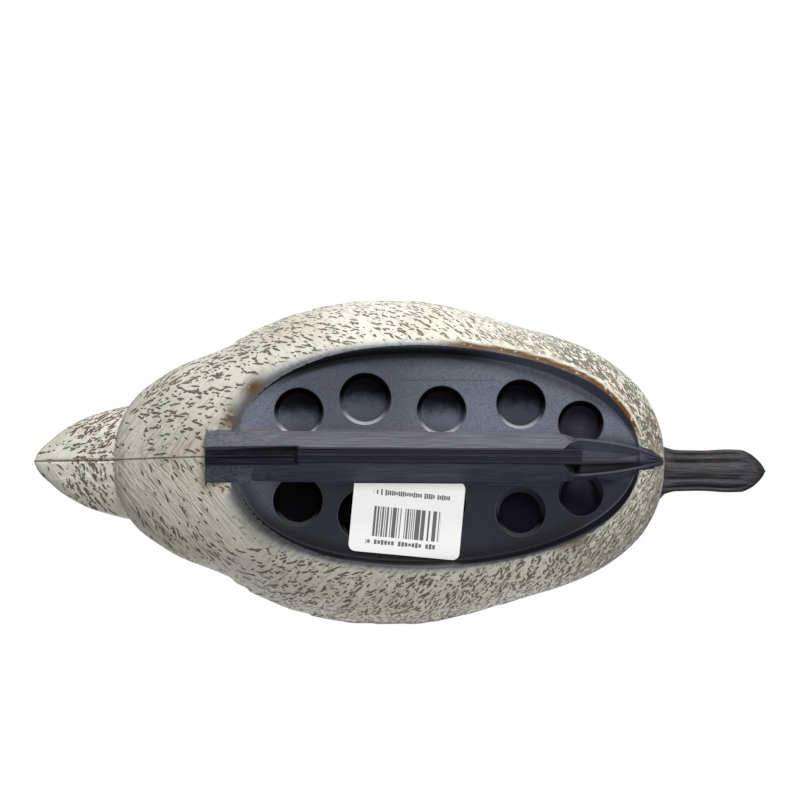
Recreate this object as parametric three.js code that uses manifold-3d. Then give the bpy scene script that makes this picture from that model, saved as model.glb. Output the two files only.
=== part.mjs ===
import * as THREE from 'three';
import { mergeVertices } from 'three/addons/utils/BufferGeometryUtils.js';
import Module from 'manifold-3d';

// A teal decoy for the garden pond: a hen moulded in one piece, with its tail at -X and its bill at +X.
// Millimetres, +Z up. The origin is under the middle of the whole bird, on the surface it stands on.

const wasm = await Module();
wasm.setup();

// Overall size
const LENGTH = 340;
const TAIL_TIP = -LENGTH / 2;
const BILL_TIP = LENGTH / 2;

// Body, from the rump under the tail to the front of the breast
const RUMP = -133.5;
const BREAST = 116;
const BODY_STATIONS = 52;
const UPPER_STEPS = 40;
const LOWER_STEPS = 10;
const SIDE_TURN = 0.3;
const LOWER_POWER = 2.4;
const UPPER_POWER = 2.1;

// How far the carved feathers stand out: the folded wing, the side feathers, and each feather on them
const WING_RISE = 1.8;
const WING_FEATHER = { length: 24, width: 15, height: 1.7 };
const FLANK_RISE = 1.1;
const FLANK_FEATHER = { length: 19, width: 15, height: 1.3 };

// Sunk base panel inside the rim of the hull
const PANEL_Z = 12;
const WELL_CENTRE = 8;
const WELL_BACK = 86;
const WELL_FRONT = 98;
const WELL_HALF_WIDTH = 48.2;
const WELL_BACK_POWER = 2.4;
const WELL_FRONT_POWER = 2;
const WELL_INSET = 2.4;
const WELL_FRONT_INSET = 5;
const WELL_SIDES = 56;
const RIM_Z = 2;
const BELOW_BODY = -20;

// Round recesses in the panel, five on each side: place along X, distance from the middle, radius
const RECESS_DEPTH = 8;
const RECESS_DRAFT = 0.84;
const RECESS_OVERCUT = 2;
const RECESS_SIDES = 20;
const RECESSES = [
  [-47.5, 19.4, 10.9],
  [-18.5, 25.5, 11.5],
  [15, 20.6, 10.9],
  [49.8, 23.6, 10.9],
  [76, 15.3, 10],
];

// Keel down the middle of the panel
const KEEL_BACK = -88.3;
const KEEL_FRONT = 76.7;
const KEEL_HALF_WIDTH = 11.2;
const STRIP_BACK = -47.2;
const STRIP_FRONT = 75.9;
const STRIP_HALF_WIDTH = 3.1;
const STRIP_ROOT = 50;
const STRIP_THICKNESS = 14;
const GROOVE_DEPTH = 0.7;
const CHANNEL_DEPTH = 5.2;
const KEEL_TOP = 27;

// Hollow pointed prow in front of the keel
const PROW_BACK = 64;
const PROW_TIP = 114.5;
const PROW_WALL = 1.1;
const PROW_HEIGHT = 16;
const PROW_DEPTH = 5.2;

// Head, bill and eyes
const NECK_BASE = 56;
const HEAD_TOP = 148;
const HEAD_SIDES = 24;
const HEAD_FRONT_POWER = 2.4;
const BILL_ROOT = 112;
const BILL_SIDES = 18;
const BILL_LIP = 2.4;
const EYE = { x: 107, y: 15.6, z: 128, radius: 4 };
const NOSTRIL = { x: 133, y: 5.6, z: 119.6, length: 6.4, depth: 2.6, height: 2.8 };

// Tail
const TAIL_ROOT = -92;
const TAIL_SIDES = 26;
const TAIL_FEATHERS = 12;
const TAIL_FEATHER_RISE = 0.8;
const TAIL_FAN = { x: -78, angle: 1.1 };

// Paper label stuck askew on the panel
const LABEL = { width: 48.5, depth: 34, radius: 3, thickness: 0.25, turn: 5, x: 0.2, y: 26 };
const TOUCH_GAP = 0.3;

const CREAM = 0xd9d2c2;
const PAPER = 0xf4f4f2;

// A smooth curve through [x, value] pairs that never swings past them.
function curve(points) {
  const xs = points.map((p) => p[0]);
  const ys = points.map((p) => p[1]);
  const last = xs.length - 1;
  const slopes = xs.slice(1).map((x, i) => (ys[i + 1] - ys[i]) / (x - xs[i]));
  const tangents = xs.map((x, i) => {
    if (i === 0) return slopes[0];
    if (i === last) return slopes[last - 1];
    const before = slopes[i - 1];
    const after = slopes[i];
    return before * after <= 0 ? 0 : (2 * before * after) / (before + after);
  });
  return (x) => {
    if (x <= xs[0]) return ys[0];
    if (x >= xs[last]) return ys[last];
    const i = xs.findIndex((value) => value > x) - 1;
    const step = xs[i + 1] - xs[i];
    const t = (x - xs[i]) / step;
    const rise = t * t * (3 - 2 * t);
    const ends = (t * (1 - t) * (1 - t) * tangents[i] - t * t * (1 - t) * tangents[i + 1]) * step;
    return ys[i] + (ys[i + 1] - ys[i]) * rise + ends;
  };
}

function smoothstep(from, to, x) {
  const t = Math.min(1, Math.max(0, (x - from) / (to - from)));
  return t * t * (3 - 2 * t);
}

function signedPower(value, power) {
  return Math.sign(value) * Math.abs(value) ** power;
}

// Outlines of the body: half width seen from below, and three lines seen from the side.
const bodyHalfWidth = curve([
  [RUMP, 0], [-132.4, 9.3], [-130, 16.8], [-127.4, 22.6], [-124, 27.6], [-120, 31.8], [-111, 38.2],
  [-102, 43.4], [-84, 50.3], [-66, 58.6], [-48, 66.1], [-21, 70.9], [4, 71.2], [17, 69.2], [33, 65.1],
  [46, 61.4], [60, 58.4], [78, 52.2], [87, 47.8], [96, 41.7], [105, 33.2], [109.5, 26.4], [112.6, 19.8],
  [114.8, 12.4], [BREAST, 0],
]);
const bodyWaist = curve([[RUMP, 56], [-110, 53], [-80, 50], [-40, 47], [10, 45], [60, 46], [BREAST, 50]]);
const bodyTop = curve([
  [RUMP, 56], [-132.4, 60.5], [-129, 64.5], [-122, 69.5], [-105, 76], [-80, 83.5], [-50, 89.5], [-10, 93.5],
  [20, 94.5], [50, 93.5], [80, 90], [95, 85.5], [104, 79.5], [110, 72], [113.6, 65], [115.4, 58.5],
  [BREAST, 50],
]);
const bodyBottom = curve([
  [RUMP, 56], [-132.4, 51.5], [-129, 47], [-120, 40], [-110, 32.5], [-100, 26], [-88, 18.8], [-73, 11.5],
  [-50, 2], [-20, -7.5], [10, -11], [50, -10.8], [79, -7], [95, 3.6], [103, 12], [107.4, 18], [111, 25],
  [113.8, 33], [115.4, 41], [BREAST, 50],
]);

// Overlapping feather tips as on a tiled roof: the height of the uppermost feather at a point.
// back is the distance towards the tail and side the distance from the middle of the back, both in mm.
function tiledFeathers(back, side, length, width) {
  const row = Math.floor(back / length);
  for (let r = row - 1; r <= row; r += 1) {
    const shift = (((r % 2) + 2) % 2) * 0.5;
    const column = Math.round(side / width - shift) + shift;
    const along = (back - r * length) / (2 * length);
    const across = Math.abs(side / width - column) * 2;
    const reach = 1 - 0.34 * across * across;
    if (along >= 0 && along <= reach) return along / reach;
  }
  return 0.5;
}

// Lower edge of the folded wing and of the side feathers, measured from the middle of the back.
const wingEdge = curve([
  [-122, 14], [-105, 34], [-80, 50], [-45, 62], [-5, 66], [30, 60], [52, 38], [60, 20],
]);
const flankEdge = curve([[-76, 78], [-50, 88], [-10, 96], [30, 92], [56, 84]]);

// How far the carving stands out of the plain body at a point; it runs out above the widest line.
function bodyRelief(x, side) {
  const wingEnds = smoothstep(-126, -119, x) * (1 - smoothstep(44, 60, x));
  const inWing = wingEnds * (1 - smoothstep(-2.5, 2.5, side - wingEdge(x)));
  const flankEnds = smoothstep(-79, -75, x) * (1 - smoothstep(44, 62, x));
  const belowWing = smoothstep(-3, 3, side - wingEdge(x));
  const inFlank = flankEnds * belowWing * (1 - smoothstep(-6, 8, side - flankEdge(x)));
  const leaning = 60 - x + 0.25 * side;
  const blades = tiledFeathers(leaning, side, WING_FEATHER.length, WING_FEATHER.width);
  const flanks = tiledFeathers(60 - x, side + 0.25 * x, FLANK_FEATHER.length, FLANK_FEATHER.width);
  const wing = inWing * (WING_RISE + WING_FEATHER.height * blades);
  return wing + inFlank * (FLANK_RISE + FLANK_FEATHER.height * flanks);
}

function bodyPoint(x, angle) {
  const width = bodyHalfWidth(x);
  const waist = bodyWaist(x);
  const upper = Math.sin(angle) >= 0;
  const height = upper ? bodyTop(x) - waist : waist - bodyBottom(x);
  const y = width * signedPower(Math.cos(angle), 2 / (upper ? UPPER_POWER : LOWER_POWER));
  const z = waist + height * Math.sin(angle);
  const fromTop = Math.abs(Math.PI / 2 - angle);
  const side = Math.min(fromTop, 2 * Math.PI - fromTop) * Math.sqrt((width * width + height * height) / 2);
  const lift = bodyRelief(x, side);
  const outY = Math.cos(angle) / Math.max(width, 1);
  const outZ = Math.sin(angle) / Math.max(height, 1);
  const slope = new THREE.Vector2(outY, outZ).normalize();
  return new THREE.Vector3(x, y + lift * slope.x, z + lift * slope.y);
}

// Turns a list of rings with equal counts into one closed surface, capped with a fan at each end.
function loft(rings) {
  const count = rings[0].length;
  const positions = [];
  const faces = [];
  rings.forEach((ring) => ring.forEach((p) => positions.push(p.x, p.y, p.z)));
  for (let i = 0; i < rings.length - 1; i += 1) {
    for (let j = 0; j < count; j += 1) {
      const a = i * count + j;
      const b = i * count + ((j + 1) % count);
      faces.push(a, b, a + count, b, b + count, a + count);
    }
  }
  const cap = (ring, first, flip) => {
    const middle = new THREE.Vector3();
    ring.forEach((p) => middle.addScaledVector(p, 1 / count));
    const centre = positions.length / 3;
    positions.push(middle.x, middle.y, middle.z);
    for (let j = 0; j < count; j += 1) {
      const a = first + j;
      const b = first + ((j + 1) % count);
      if (flip) faces.push(centre, b, a);
      else faces.push(centre, a, b);
    }
  };
  cap(rings[0], 0, true);
  cap(rings[rings.length - 1], (rings.length - 1) * count, false);
  const geometry = new THREE.BufferGeometry();
  geometry.setAttribute('position', new THREE.Float32BufferAttribute(positions, 3));
  geometry.setIndex(faces);
  return geometry;
}

function volumeOf(geometry) {
  const a = new THREE.Vector3();
  const b = new THREE.Vector3();
  const c = new THREE.Vector3();
  const { position } = geometry.attributes;
  let total = 0;
  for (let i = 0; i < geometry.index.count; i += 3) {
    a.fromBufferAttribute(position, geometry.index.getX(i));
    b.fromBufferAttribute(position, geometry.index.getX(i + 1));
    c.fromBufferAttribute(position, geometry.index.getX(i + 2));
    total += a.dot(b.cross(c)) / 6;
  }
  return total;
}

// A solid that can be joined and cut, from any closed geometry.
function solid(source) {
  const bare = source.clone();
  bare.deleteAttribute('normal');
  bare.deleteAttribute('uv');
  const geometry = mergeVertices(bare, 1e-4);
  const faces = Array.from(geometry.index.array);
  if (volumeOf(geometry) < 0) faces.reverse();
  const triangles = [];
  for (let i = 0; i < faces.length; i += 3) {
    const [a, b, c] = faces.slice(i, i + 3);
    if (a !== b && b !== c && c !== a) triangles.push(a, b, c);
  }
  return new wasm.Manifold(new wasm.Mesh({
    numProp: 3,
    vertProperties: new Float32Array(geometry.attributes.position.array),
    triVerts: new Uint32Array(triangles),
  }));
}

function meshOf(shape, name, material) {
  const data = shape.getMesh();
  const geometry = new THREE.BufferGeometry();
  geometry.setAttribute('position', new THREE.BufferAttribute(new Float32Array(data.vertProperties), 3));
  geometry.setIndex(new THREE.BufferAttribute(new Uint32Array(data.triVerts), 1));
  geometry.computeVertexNormals();
  const mesh = new THREE.Mesh(geometry, material);
  mesh.name = name;
  return mesh;
}

// Rings across X, closer together towards both ends.
function stations(from, to, count) {
  return Array.from({ length: count }, (_, i) => {
    const t = (i + 0.5) / count;
    const eased = 0.72 * t + 0.28 * (0.5 - 0.5 * Math.cos(Math.PI * t));
    return from + (to - from) * eased;
  });
}

// Places from one value to another, closer together near the first where the power is over 1.
function spread(from, to, count, power) {
  return Array.from({ length: count }, (_, i) => from + (to - from) * (i / (count - 1)) ** power);
}

function turns(count) {
  return Array.from({ length: count }, (_, j) => (2 * Math.PI * j) / count);
}

function mirrored(right) {
  return right.concat(right.slice().reverse().map(([y, z]) => [-y, z]));
}

function bodySolid() {
  const upperTurn = Math.PI + 2 * SIDE_TURN;
  const upper = Array.from({ length: UPPER_STEPS }, (_, j) => (upperTurn * j) / UPPER_STEPS - SIDE_TURN);
  const lowerTurn = 2 * Math.PI - upperTurn;
  const start = Math.PI + SIDE_TURN;
  const lower = Array.from({ length: LOWER_STEPS }, (_, j) => start + (lowerTurn * j) / LOWER_STEPS);
  const angles = upper.concat(lower);
  const middle = stations(RUMP + 1.2, BREAST - 1, BODY_STATIONS);
  const places = [RUMP + 0.08, RUMP + 0.5, ...middle, BREAST - 0.5, BREAST - 0.08];
  return solid(loft(places.map((x) => angles.map((angle) => bodyPoint(x, angle)))));
}

// Neck and head are one run of level ovals: height, middle, half length, half width.
const headMiddle = curve([
  [NECK_BASE, 66], [66, 71], [76, 77], [85, 82], [93, 86.5], [101, 91], [109, 95.5], [117, 97.5],
  [126, 97.5], [134, 95.5], [141, 93], [HEAD_TOP, 90.5],
]);
const headHalfLength = curve([
  [NECK_BASE, 48], [66, 41], [76, 35.5], [85, 30], [93, 26], [101, 24.6], [109, 26.8], [117, 28.6],
  [126, 27.8], [134, 24.6], [139.5, 20.6], [143.6, 15.6], [146.6, 9.2], [HEAD_TOP, 0],
]);
const headHalfWidth = curve([
  [NECK_BASE, 45], [66, 38.5], [76, 32.5], [85, 26.6], [93, 22], [101, 19.3], [109, 19], [117, 19.6],
  [126, 19], [134, 16.8], [139.5, 13.8], [143.6, 10.4], [146.6, 6.2], [HEAD_TOP, 0],
]);

function headSolid() {
  const rings = spread(HEAD_TOP - 0.3, NECK_BASE, 20, 1.5).map((z) => turns(HEAD_SIDES).map((angle) => {
    const power = Math.cos(angle) > 0 ? 2 / HEAD_FRONT_POWER : 1;
    const x = headMiddle(z) + headHalfLength(z) * signedPower(Math.cos(angle), power);
    const y = headHalfWidth(z) * signedPower(Math.sin(angle), power);
    return new THREE.Vector3(x, y, z);
  }));
  return solid(loft(rings));
}

// Bill: sections across X, with a raised ridge on top and the flat lower half set into the upper.
const billHalfWidth = curve([
  [BILL_ROOT, 13.5], [121, 11.6], [128, 9.9], [140, 9.7], [152, 10.3], [158, 10.1], [162.8, 8.2],
  [166.6, 5.2], [169, 2.4], [BILL_TIP, 0.4],
]);
const billTop = curve([
  [BILL_ROOT, 131], [121, 128.4], [129, 123.4], [139, 118.8], [150, 115.8], [161, 114.4], [167, 113.4],
  [BILL_TIP, 111.2],
]);
const billBottom = curve([
  [BILL_ROOT, 108], [122, 107.6], [140, 107], [158, 107], [166, 107.6], [BILL_TIP, 109.4],
]);

function billSolid() {
  const rings = spread(BILL_TIP, BILL_ROOT, 15, 1.4).map((x) => turns(BILL_SIDES).map((angle) => {
    const edge = billBottom(x) + BILL_LIP;
    const upper = Math.sin(angle) > 0;
    const height = upper ? billTop(x) - edge : edge - billBottom(x);
    const y = billHalfWidth(x) * signedPower(Math.cos(angle), upper ? 1 : 0.7);
    return new THREE.Vector3(x, y, edge + height * signedPower(Math.sin(angle), upper ? 1.25 : 0.8));
  }));
  return solid(loft(rings));
}

function nostrilCutter(side) {
  const geometry = new THREE.SphereGeometry(1, 10, 8);
  geometry.scale(NOSTRIL.length / 2, NOSTRIL.depth / 2, NOSTRIL.height / 2);
  geometry.translate(NOSTRIL.x, side * NOSTRIL.y, NOSTRIL.z);
  return solid(geometry);
}

function eyeSolid(side) {
  const geometry = new THREE.SphereGeometry(EYE.radius, 12, 8);
  geometry.translate(EYE.x, side * EYE.y, EYE.z);
  return solid(geometry);
}

// Tail: a pointed fan, lens shaped in section, with its feathers fanning out from the rump.
const tailHalfWidth = curve([
  [TAIL_TIP, 0.6], [-168.8, 3.4], [-166.8, 6.1], [-162.2, 10.2], [-157.7, 14], [-153, 16.9], [-148.6, 19.3],
  [-144, 21.3], [-135, 24], [-125, 26.2], [-110, 27.5], [TAIL_ROOT, 26],
]);
const tailTop = curve([
  [TAIL_TIP, 66.4], [-160, 68.6], [-145, 71.6], [-128, 74.5], [-110, 76.5], [TAIL_ROOT, 79],
]);
const tailBottom = curve([
  [TAIL_TIP, 64.6], [-160, 60.6], [-145, 55.4], [-128, 50], [-110, 45], [TAIL_ROOT, 42],
]);

function tailSolid() {
  const rings = spread(TAIL_TIP, TAIL_ROOT, 17, 1.6).map((x) => turns(TAIL_SIDES).map((angle) => {
    const edge = tailBottom(x) + 0.62 * (tailTop(x) - tailBottom(x));
    const upper = Math.sin(angle) > 0;
    const height = upper ? tailTop(x) - edge : edge - tailBottom(x);
    const y = tailHalfWidth(x) * Math.cos(angle);
    const feather = Math.abs(Math.sin(Math.atan2(y, x - TAIL_FAN.x) * (TAIL_FEATHERS / TAIL_FAN.angle)));
    const blade = TAIL_FEATHER_RISE * feather * Math.abs(Math.sin(angle)) * smoothstep(TAIL_TIP, -158, x);
    return new THREE.Vector3(x, y, edge + (height + blade) * signedPower(Math.sin(angle), 1.1));
  }));
  return solid(loft(rings));
}

// The rim of the sunk panel is a long oval that is blunter towards the tail.
// Its wall leans outwards, most of all in front: rise is the height above the rim as a share of the depth.
function wellRing(z) {
  const rise = (z - RIM_Z) / (PANEL_Z - RIM_Z);
  const halfWidth = WELL_HALF_WIDTH - WELL_INSET * rise;
  return turns(WELL_SIDES).map((angle) => {
    const back = Math.cos(angle) < 0;
    const power = 2 / (back ? WELL_BACK_POWER : WELL_FRONT_POWER);
    const reach = back ? WELL_BACK - WELL_INSET * rise : WELL_FRONT - WELL_FRONT_INSET * rise;
    const x = WELL_CENTRE + reach * signedPower(Math.cos(angle), power);
    return new THREE.Vector3(x, halfWidth * signedPower(Math.sin(angle), power), z);
  });
}

function wellCutter() {
  return solid(loft([wellRing(PANEL_Z), wellRing(BELOW_BODY)]));
}

function recessCutter([x, y, radius], side) {
  const mouth = radius + (radius * (1 - RECESS_DRAFT) * RECESS_OVERCUT) / RECESS_DEPTH;
  const height = RECESS_DEPTH + RECESS_OVERCUT;
  const geometry = new THREE.CylinderGeometry(radius * RECESS_DRAFT, mouth, height, RECESS_SIDES);
  geometry.rotateX(Math.PI / 2);
  geometry.translate(x, side * y, PANEL_Z - RECESS_OVERCUT + height / 2);
  return solid(geometry);
}

// The keel: sloping flanks down to a narrow grooved strip, which the bird stands on.
const keelBottom = curve([[KEEL_BACK, 13.6], [-70, 6.6], [-54, 1], [STRIP_BACK, 0]]);
const keelFlank = curve([[KEEL_BACK, 16.6], [-72, 13.4], [-56, PANEL_Z]]);
const keelHalfWidth = curve([[62, KEEL_HALF_WIDTH], [67, 10.7], [71, 9.8], [74.5, 8.2], [KEEL_FRONT, 6]]);

function keelSolid() {
  const places = [KEEL_BACK, -79, -70, -62, -54, STRIP_BACK, 62, 66, 69, 72, 74.5, STRIP_FRONT];
  return solid(loft(places.map((x) => {
    const half = keelHalfWidth(x);
    const low = keelBottom(x);
    const groove = x > STRIP_BACK - 1 ? low + GROOVE_DEPTH : low;
    const strip = Math.min(STRIP_HALF_WIDTH, half - 1);
    const right = [
      [0.55, low], [0.72, groove], [1.95, groove], [2.15, low],
      [strip, low], [half, keelFlank(x)], [half, KEEL_TOP],
    ];
    return mirrored(right).map(([y, z]) => new THREE.Vector3(x, y, z));
  })));
}

// A channel behind the strip, where the keel runs up onto the hull. It gets shallower backwards.
function channelCutter() {
  const rings = [[KEEL_BACK + 2.5, 2.2, 1], [-66, 4.6, 3.4], [STRIP_BACK - 0.4, 5.4, CHANNEL_DEPTH]];
  return solid(loft(rings.map(([x, half, depth]) => {
    const low = keelBottom(x);
    const right = [[half, low - 3], [0.25 * half, low + depth]];
    return mirrored(right).map(([y, z]) => new THREE.Vector3(x, y, z));
  })));
}

// The prow narrows to a point as it runs up the breast.
const prowHalfWidth = curve([
  [PROW_BACK, 8.6], [76, 8.3], [86.6, 7.3], [95.5, 5.9], [104.5, 3.8], [111, 1.9], [PROW_TIP, 0.4],
]);
const prowBottom = curve([
  [PROW_BACK, 11.5], [70, 8.2], [76, 5.4], [84, 5.2], [96, 7], [101, 9], [105, 12.2], [108, 16.6],
  [111, 22.4], [113, 28], [PROW_TIP, 33.5],
]);

function prowSolid() {
  return solid(loft(spread(PROW_TIP, PROW_BACK, 13, 1.3).map((x) => {
    const right = [[prowHalfWidth(x), prowBottom(x)], [prowHalfWidth(x), prowBottom(x) + PROW_HEIGHT]];
    return mirrored(right).map(([y, z]) => new THREE.Vector3(x, y, z));
  })));
}

// The hollow starts as two narrow slots beside the strip, widens, and gets shallower up the breast.
function prowHollow() {
  return solid(loft(spread(113, 66, 12, 1.1).map((x) => {
    const opening = 0.3 + 0.7 * smoothstep(66, 73, x);
    const half = Math.max((prowHalfWidth(x) - PROW_WALL) * opening, 0.25);
    const low = x < 84 ? Math.min(prowBottom(x), 5.6) : prowBottom(x);
    const deep = low + PROW_DEPTH * (1 - smoothstep(96, 114, x));
    const right = [[half, low - 9], [half, low + 0.4], [0.45 * half, deep - 0.9], [0.05, deep + 0.9]];
    return mirrored(right).map(([y, z]) => new THREE.Vector3(x, y, z));
  })));
}

// The strip itself runs on past the flanks of the keel, over the hollow.
function stripEnd() {
  const length = STRIP_FRONT - STRIP_ROOT;
  const geometry = new THREE.BoxGeometry(length, 2 * STRIP_HALF_WIDTH, STRIP_THICKNESS);
  geometry.translate(STRIP_ROOT + length / 2, 0, GROOVE_DEPTH + STRIP_THICKNESS / 2);
  return solid(geometry);
}

function decoySolid() {
  let shape = bodySolid().add(tailSolid()).add(headSolid()).add(billSolid());
  shape = shape.subtract(wellCutter());
  for (const side of [-1, 1]) {
    shape = shape.add(eyeSolid(side)).subtract(nostrilCutter(side));
    for (const recess of RECESSES) shape = shape.subtract(recessCutter(recess, side));
  }
  const keel = keelSolid().subtract(channelCutter()).subtract(prowHollow());
  const prow = prowSolid().subtract(prowHollow());
  return shape.add(keel).add(prow).add(stripEnd());
}

function roundedRectangle(width, depth, radius) {
  const shape = new THREE.Shape();
  const x = width / 2;
  const y = depth / 2;
  shape.moveTo(-x + radius, -y);
  shape.lineTo(x - radius, -y);
  shape.absarc(x - radius, -y + radius, radius, -Math.PI / 2, 0, false);
  shape.lineTo(x, y - radius);
  shape.absarc(x - radius, y - radius, radius, 0, Math.PI / 2, false);
  shape.lineTo(-x + radius, y);
  shape.absarc(-x + radius, y - radius, radius, Math.PI / 2, Math.PI, false);
  shape.lineTo(-x, -y + radius);
  shape.absarc(-x + radius, -y + radius, radius, Math.PI, 1.5 * Math.PI, false);
  return shape;
}

// The inner edge of the label is cut straight along the keel.
function labelSolid() {
  const outline = roundedRectangle(LABEL.width, LABEL.depth, LABEL.radius);
  const settings = { depth: LABEL.thickness, bevelEnabled: false, curveSegments: 3 };
  const sheet = new THREE.ExtrudeGeometry(outline, settings);
  sheet.rotateZ(THREE.MathUtils.degToRad(LABEL.turn));
  sheet.translate(LABEL.x, LABEL.y, PANEL_Z - TOUCH_GAP - LABEL.thickness);
  const keelSide = new THREE.BoxGeometry(2 * LABEL.width, LABEL.depth, PANEL_Z);
  keelSide.translate(LABEL.x, KEEL_HALF_WIDTH + TOUCH_GAP - LABEL.depth / 2, PANEL_Z);
  return solid(sheet).subtract(solid(keelSide));
}

const plastic = new THREE.MeshStandardMaterial({ color: CREAM, roughness: 0.6, metalness: 0 });
const paper = new THREE.MeshStandardMaterial({ color: PAPER, roughness: 0.5, metalness: 0 });

const decoy = new THREE.Group();
decoy.add(meshOf(decoySolid(), 'decoy_body', plastic));
decoy.add(meshOf(labelSolid(), 'paper_label', paper));

export default decoy;
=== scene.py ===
import math

import bpy
import numpy as np
from mathutils import Matrix, Vector


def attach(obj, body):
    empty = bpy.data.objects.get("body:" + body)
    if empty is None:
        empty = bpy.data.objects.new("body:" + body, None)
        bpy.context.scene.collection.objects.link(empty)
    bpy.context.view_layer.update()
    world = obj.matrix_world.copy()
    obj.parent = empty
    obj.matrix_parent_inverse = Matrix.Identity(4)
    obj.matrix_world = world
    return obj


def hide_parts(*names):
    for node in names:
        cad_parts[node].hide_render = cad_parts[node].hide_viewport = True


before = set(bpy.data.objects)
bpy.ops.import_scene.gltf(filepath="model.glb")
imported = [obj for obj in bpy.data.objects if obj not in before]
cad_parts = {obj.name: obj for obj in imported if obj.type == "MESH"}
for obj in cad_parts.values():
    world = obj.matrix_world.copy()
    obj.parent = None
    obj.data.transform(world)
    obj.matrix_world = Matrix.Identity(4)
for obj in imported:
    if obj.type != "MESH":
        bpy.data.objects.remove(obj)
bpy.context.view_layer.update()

# Lengths are millimetres in the frame's axes; MM makes them metres for Blender.
MM = 0.001

# Ends of the bird, and of its body from the rump under the tail to the front of the breast
TAIL_TIP = -170
BILL_TIP = 170
RUMP = -133.5
BREAST = 116
LOWER_POWER = 2.4
UPPER_POWER = 2.1
BODY_RINGS, BODY_SIDES = 300, 216

# Sunk base panel inside the rim of the hull
PANEL_Z = 12
WELL_CENTRE = 8
WELL_BACK = 86
WELL_FRONT = 98
WELL_HALF_WIDTH = 48.2
WELL_BACK_POWER = 2.4
WELL_FRONT_POWER = 2
WELL_INSET = 2.4
WELL_FRONT_INSET = 5
WELL_SIDES = 200
RIM_Z = 2

# Round recesses in the panel: place along X, distance from the middle, radius
RECESS_DEPTH = 8
RECESS_DRAFT = 0.84
RECESSES = [(-47.5, 19.4, 10.9), (-18.5, 25.5, 11.5), (15, 20.6, 10.9), (49.8, 23.6, 10.9), (76, 15.3, 10)]

# Keel and its prow
KEEL_BACK = -88.3
KEEL_FRONT = 76.7
KEEL_HALF_WIDTH = 11.2
STRIP_BACK = -47.2
STRIP_FRONT = 75.9
STRIP_HALF_WIDTH = 3.1
GROOVE_DEPTH = 0.7
PROW_BACK = 64
PROW_TIP = 114.5
PROW_WALL = 1.1
PROW_ALONE = 78  # from here on the keel is gone, and only the prow runs up the breast
KEEL_ROOT = 27
KEEL_TAPER = 62
STRIP_ROOT = 50
STRIP_THICKNESS = 14
HOLLOW_BACK = 66
HOLLOW_FRONT = 113

# Head, bill and tail
NECK_LOW = 56
HEAD_TOP = 148
HEAD_FRONT_POWER = 2.4
HEAD_RINGS, HEAD_SIDES = 110, 110
EYE = (107, 15.6, 128)
EYE_RADIUS = 4
NOSTRIL = (133, 5.6, 119.6)
NOSTRIL_SIZE = (3.2, 1.3, 1.4)
BILL_ROOT = 112
BILL_RINGS, BILL_SIDES = 84, 72
LOWER_BILL = 2.4
BILL_NAIL = 166
TAIL_ROOT = -92
TAIL_RINGS, TAIL_SIDES = 92, 132
TAIL_FEATHERS = 12
TAIL_FAN_CENTRE = -78
TAIL_FAN_SPREAD = 1.1

# Middle of the label and how far it is turned
LABEL_CENTRE = (0.2, 26, 11.5)
LABEL_TURN = math.radians(5)

# The right side of the bird, where the light falls, is painted paler as painted light: none of it at the
# first of these places across the bird, all of it at the second
LIT_SIDE_EDGE = (12, -16)

FLOOR_HALF = 3000

# Camera: the bird seen from straight below, a little from its left side. The picture is as wide as this at
# its level above the floor
CAMERA_HEIGHT = 1160
CAMERA_LEAN = math.radians(4.5)
CAMERA_ROLL = math.radians(0.35)
CAMERA_AIM = (-3.15, -24.1)
PICTURE_LEVEL = 40
PICTURE_WIDTH = 357.6
SENSOR = 36


def curve(points):
    """A smooth curve through (x, value) pairs that never swings past them."""
    xs, ys = np.array(points, float).T
    slopes = np.diff(ys) / np.diff(xs)
    before, after = slopes[:-1], slopes[1:]
    same = before * after > 0
    inner = np.where(same, 2 * before * after / np.where(same, before + after, 1), 0)
    tangents = np.concatenate((slopes[:1], inner, slopes[-1:]))

    def at(x):
        x = np.clip(x, xs[0], xs[-1])
        i = np.clip(np.searchsorted(xs, x, side="right") - 1, 0, len(xs) - 2)
        step = xs[i + 1] - xs[i]
        t = (x - xs[i]) / step
        ends = t * (1 - t) ** 2 * tangents[i] - t * t * (1 - t) * tangents[i + 1]
        return ys[i] + (ys[i + 1] - ys[i]) * t * t * (3 - 2 * t) + step * ends

    return at


def ramp(start, end, x):
    """0 at start and 1 at end, with a smooth run between; start may be the larger."""
    t = np.clip((x - start) / (end - start), 0, 1)
    return t * t * (3 - 2 * t)


def signed_power(value, power):
    return np.sign(value) * np.abs(value) ** power


body_half_width = curve([
    (RUMP, 0), (-132.4, 9.3), (-130, 16.8), (-127.4, 22.6), (-124, 27.6), (-120, 31.8), (-111, 38.2),
    (-102, 43.4), (-84, 50.3), (-66, 58.6), (-48, 66.1), (-21, 70.9), (4, 71.2), (17, 69.2), (33, 65.1),
    (46, 61.4), (60, 58.4), (78, 52.2), (87, 47.8), (96, 41.7), (105, 33.2), (109.5, 26.4), (112.6, 19.8),
    (114.8, 12.4), (BREAST, 0),
])
body_waist = curve([(RUMP, 56), (-110, 53), (-80, 50), (-40, 47), (10, 45), (60, 46), (BREAST, 50)])
body_top = curve([
    (RUMP, 56), (-132.4, 60.5), (-129, 64.5), (-122, 69.5), (-105, 76), (-80, 83.5), (-50, 89.5), (-10, 93.5),
    (20, 94.5), (50, 93.5), (80, 90), (95, 85.5), (104, 79.5), (110, 72), (113.6, 65), (115.4, 58.5),
    (BREAST, 50),
])
body_bottom = curve([
    (RUMP, 56), (-132.4, 51.5), (-129, 47), (-120, 40), (-110, 32.5), (-100, 26), (-88, 18.8), (-73, 11.5),
    (-50, 2), (-20, -7.5), (10, -11), (50, -10.8), (79, -7), (95, 3.6), (103, 12), (107.4, 18), (111, 25),
    (113.8, 33), (115.4, 41), (BREAST, 50),
])
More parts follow.
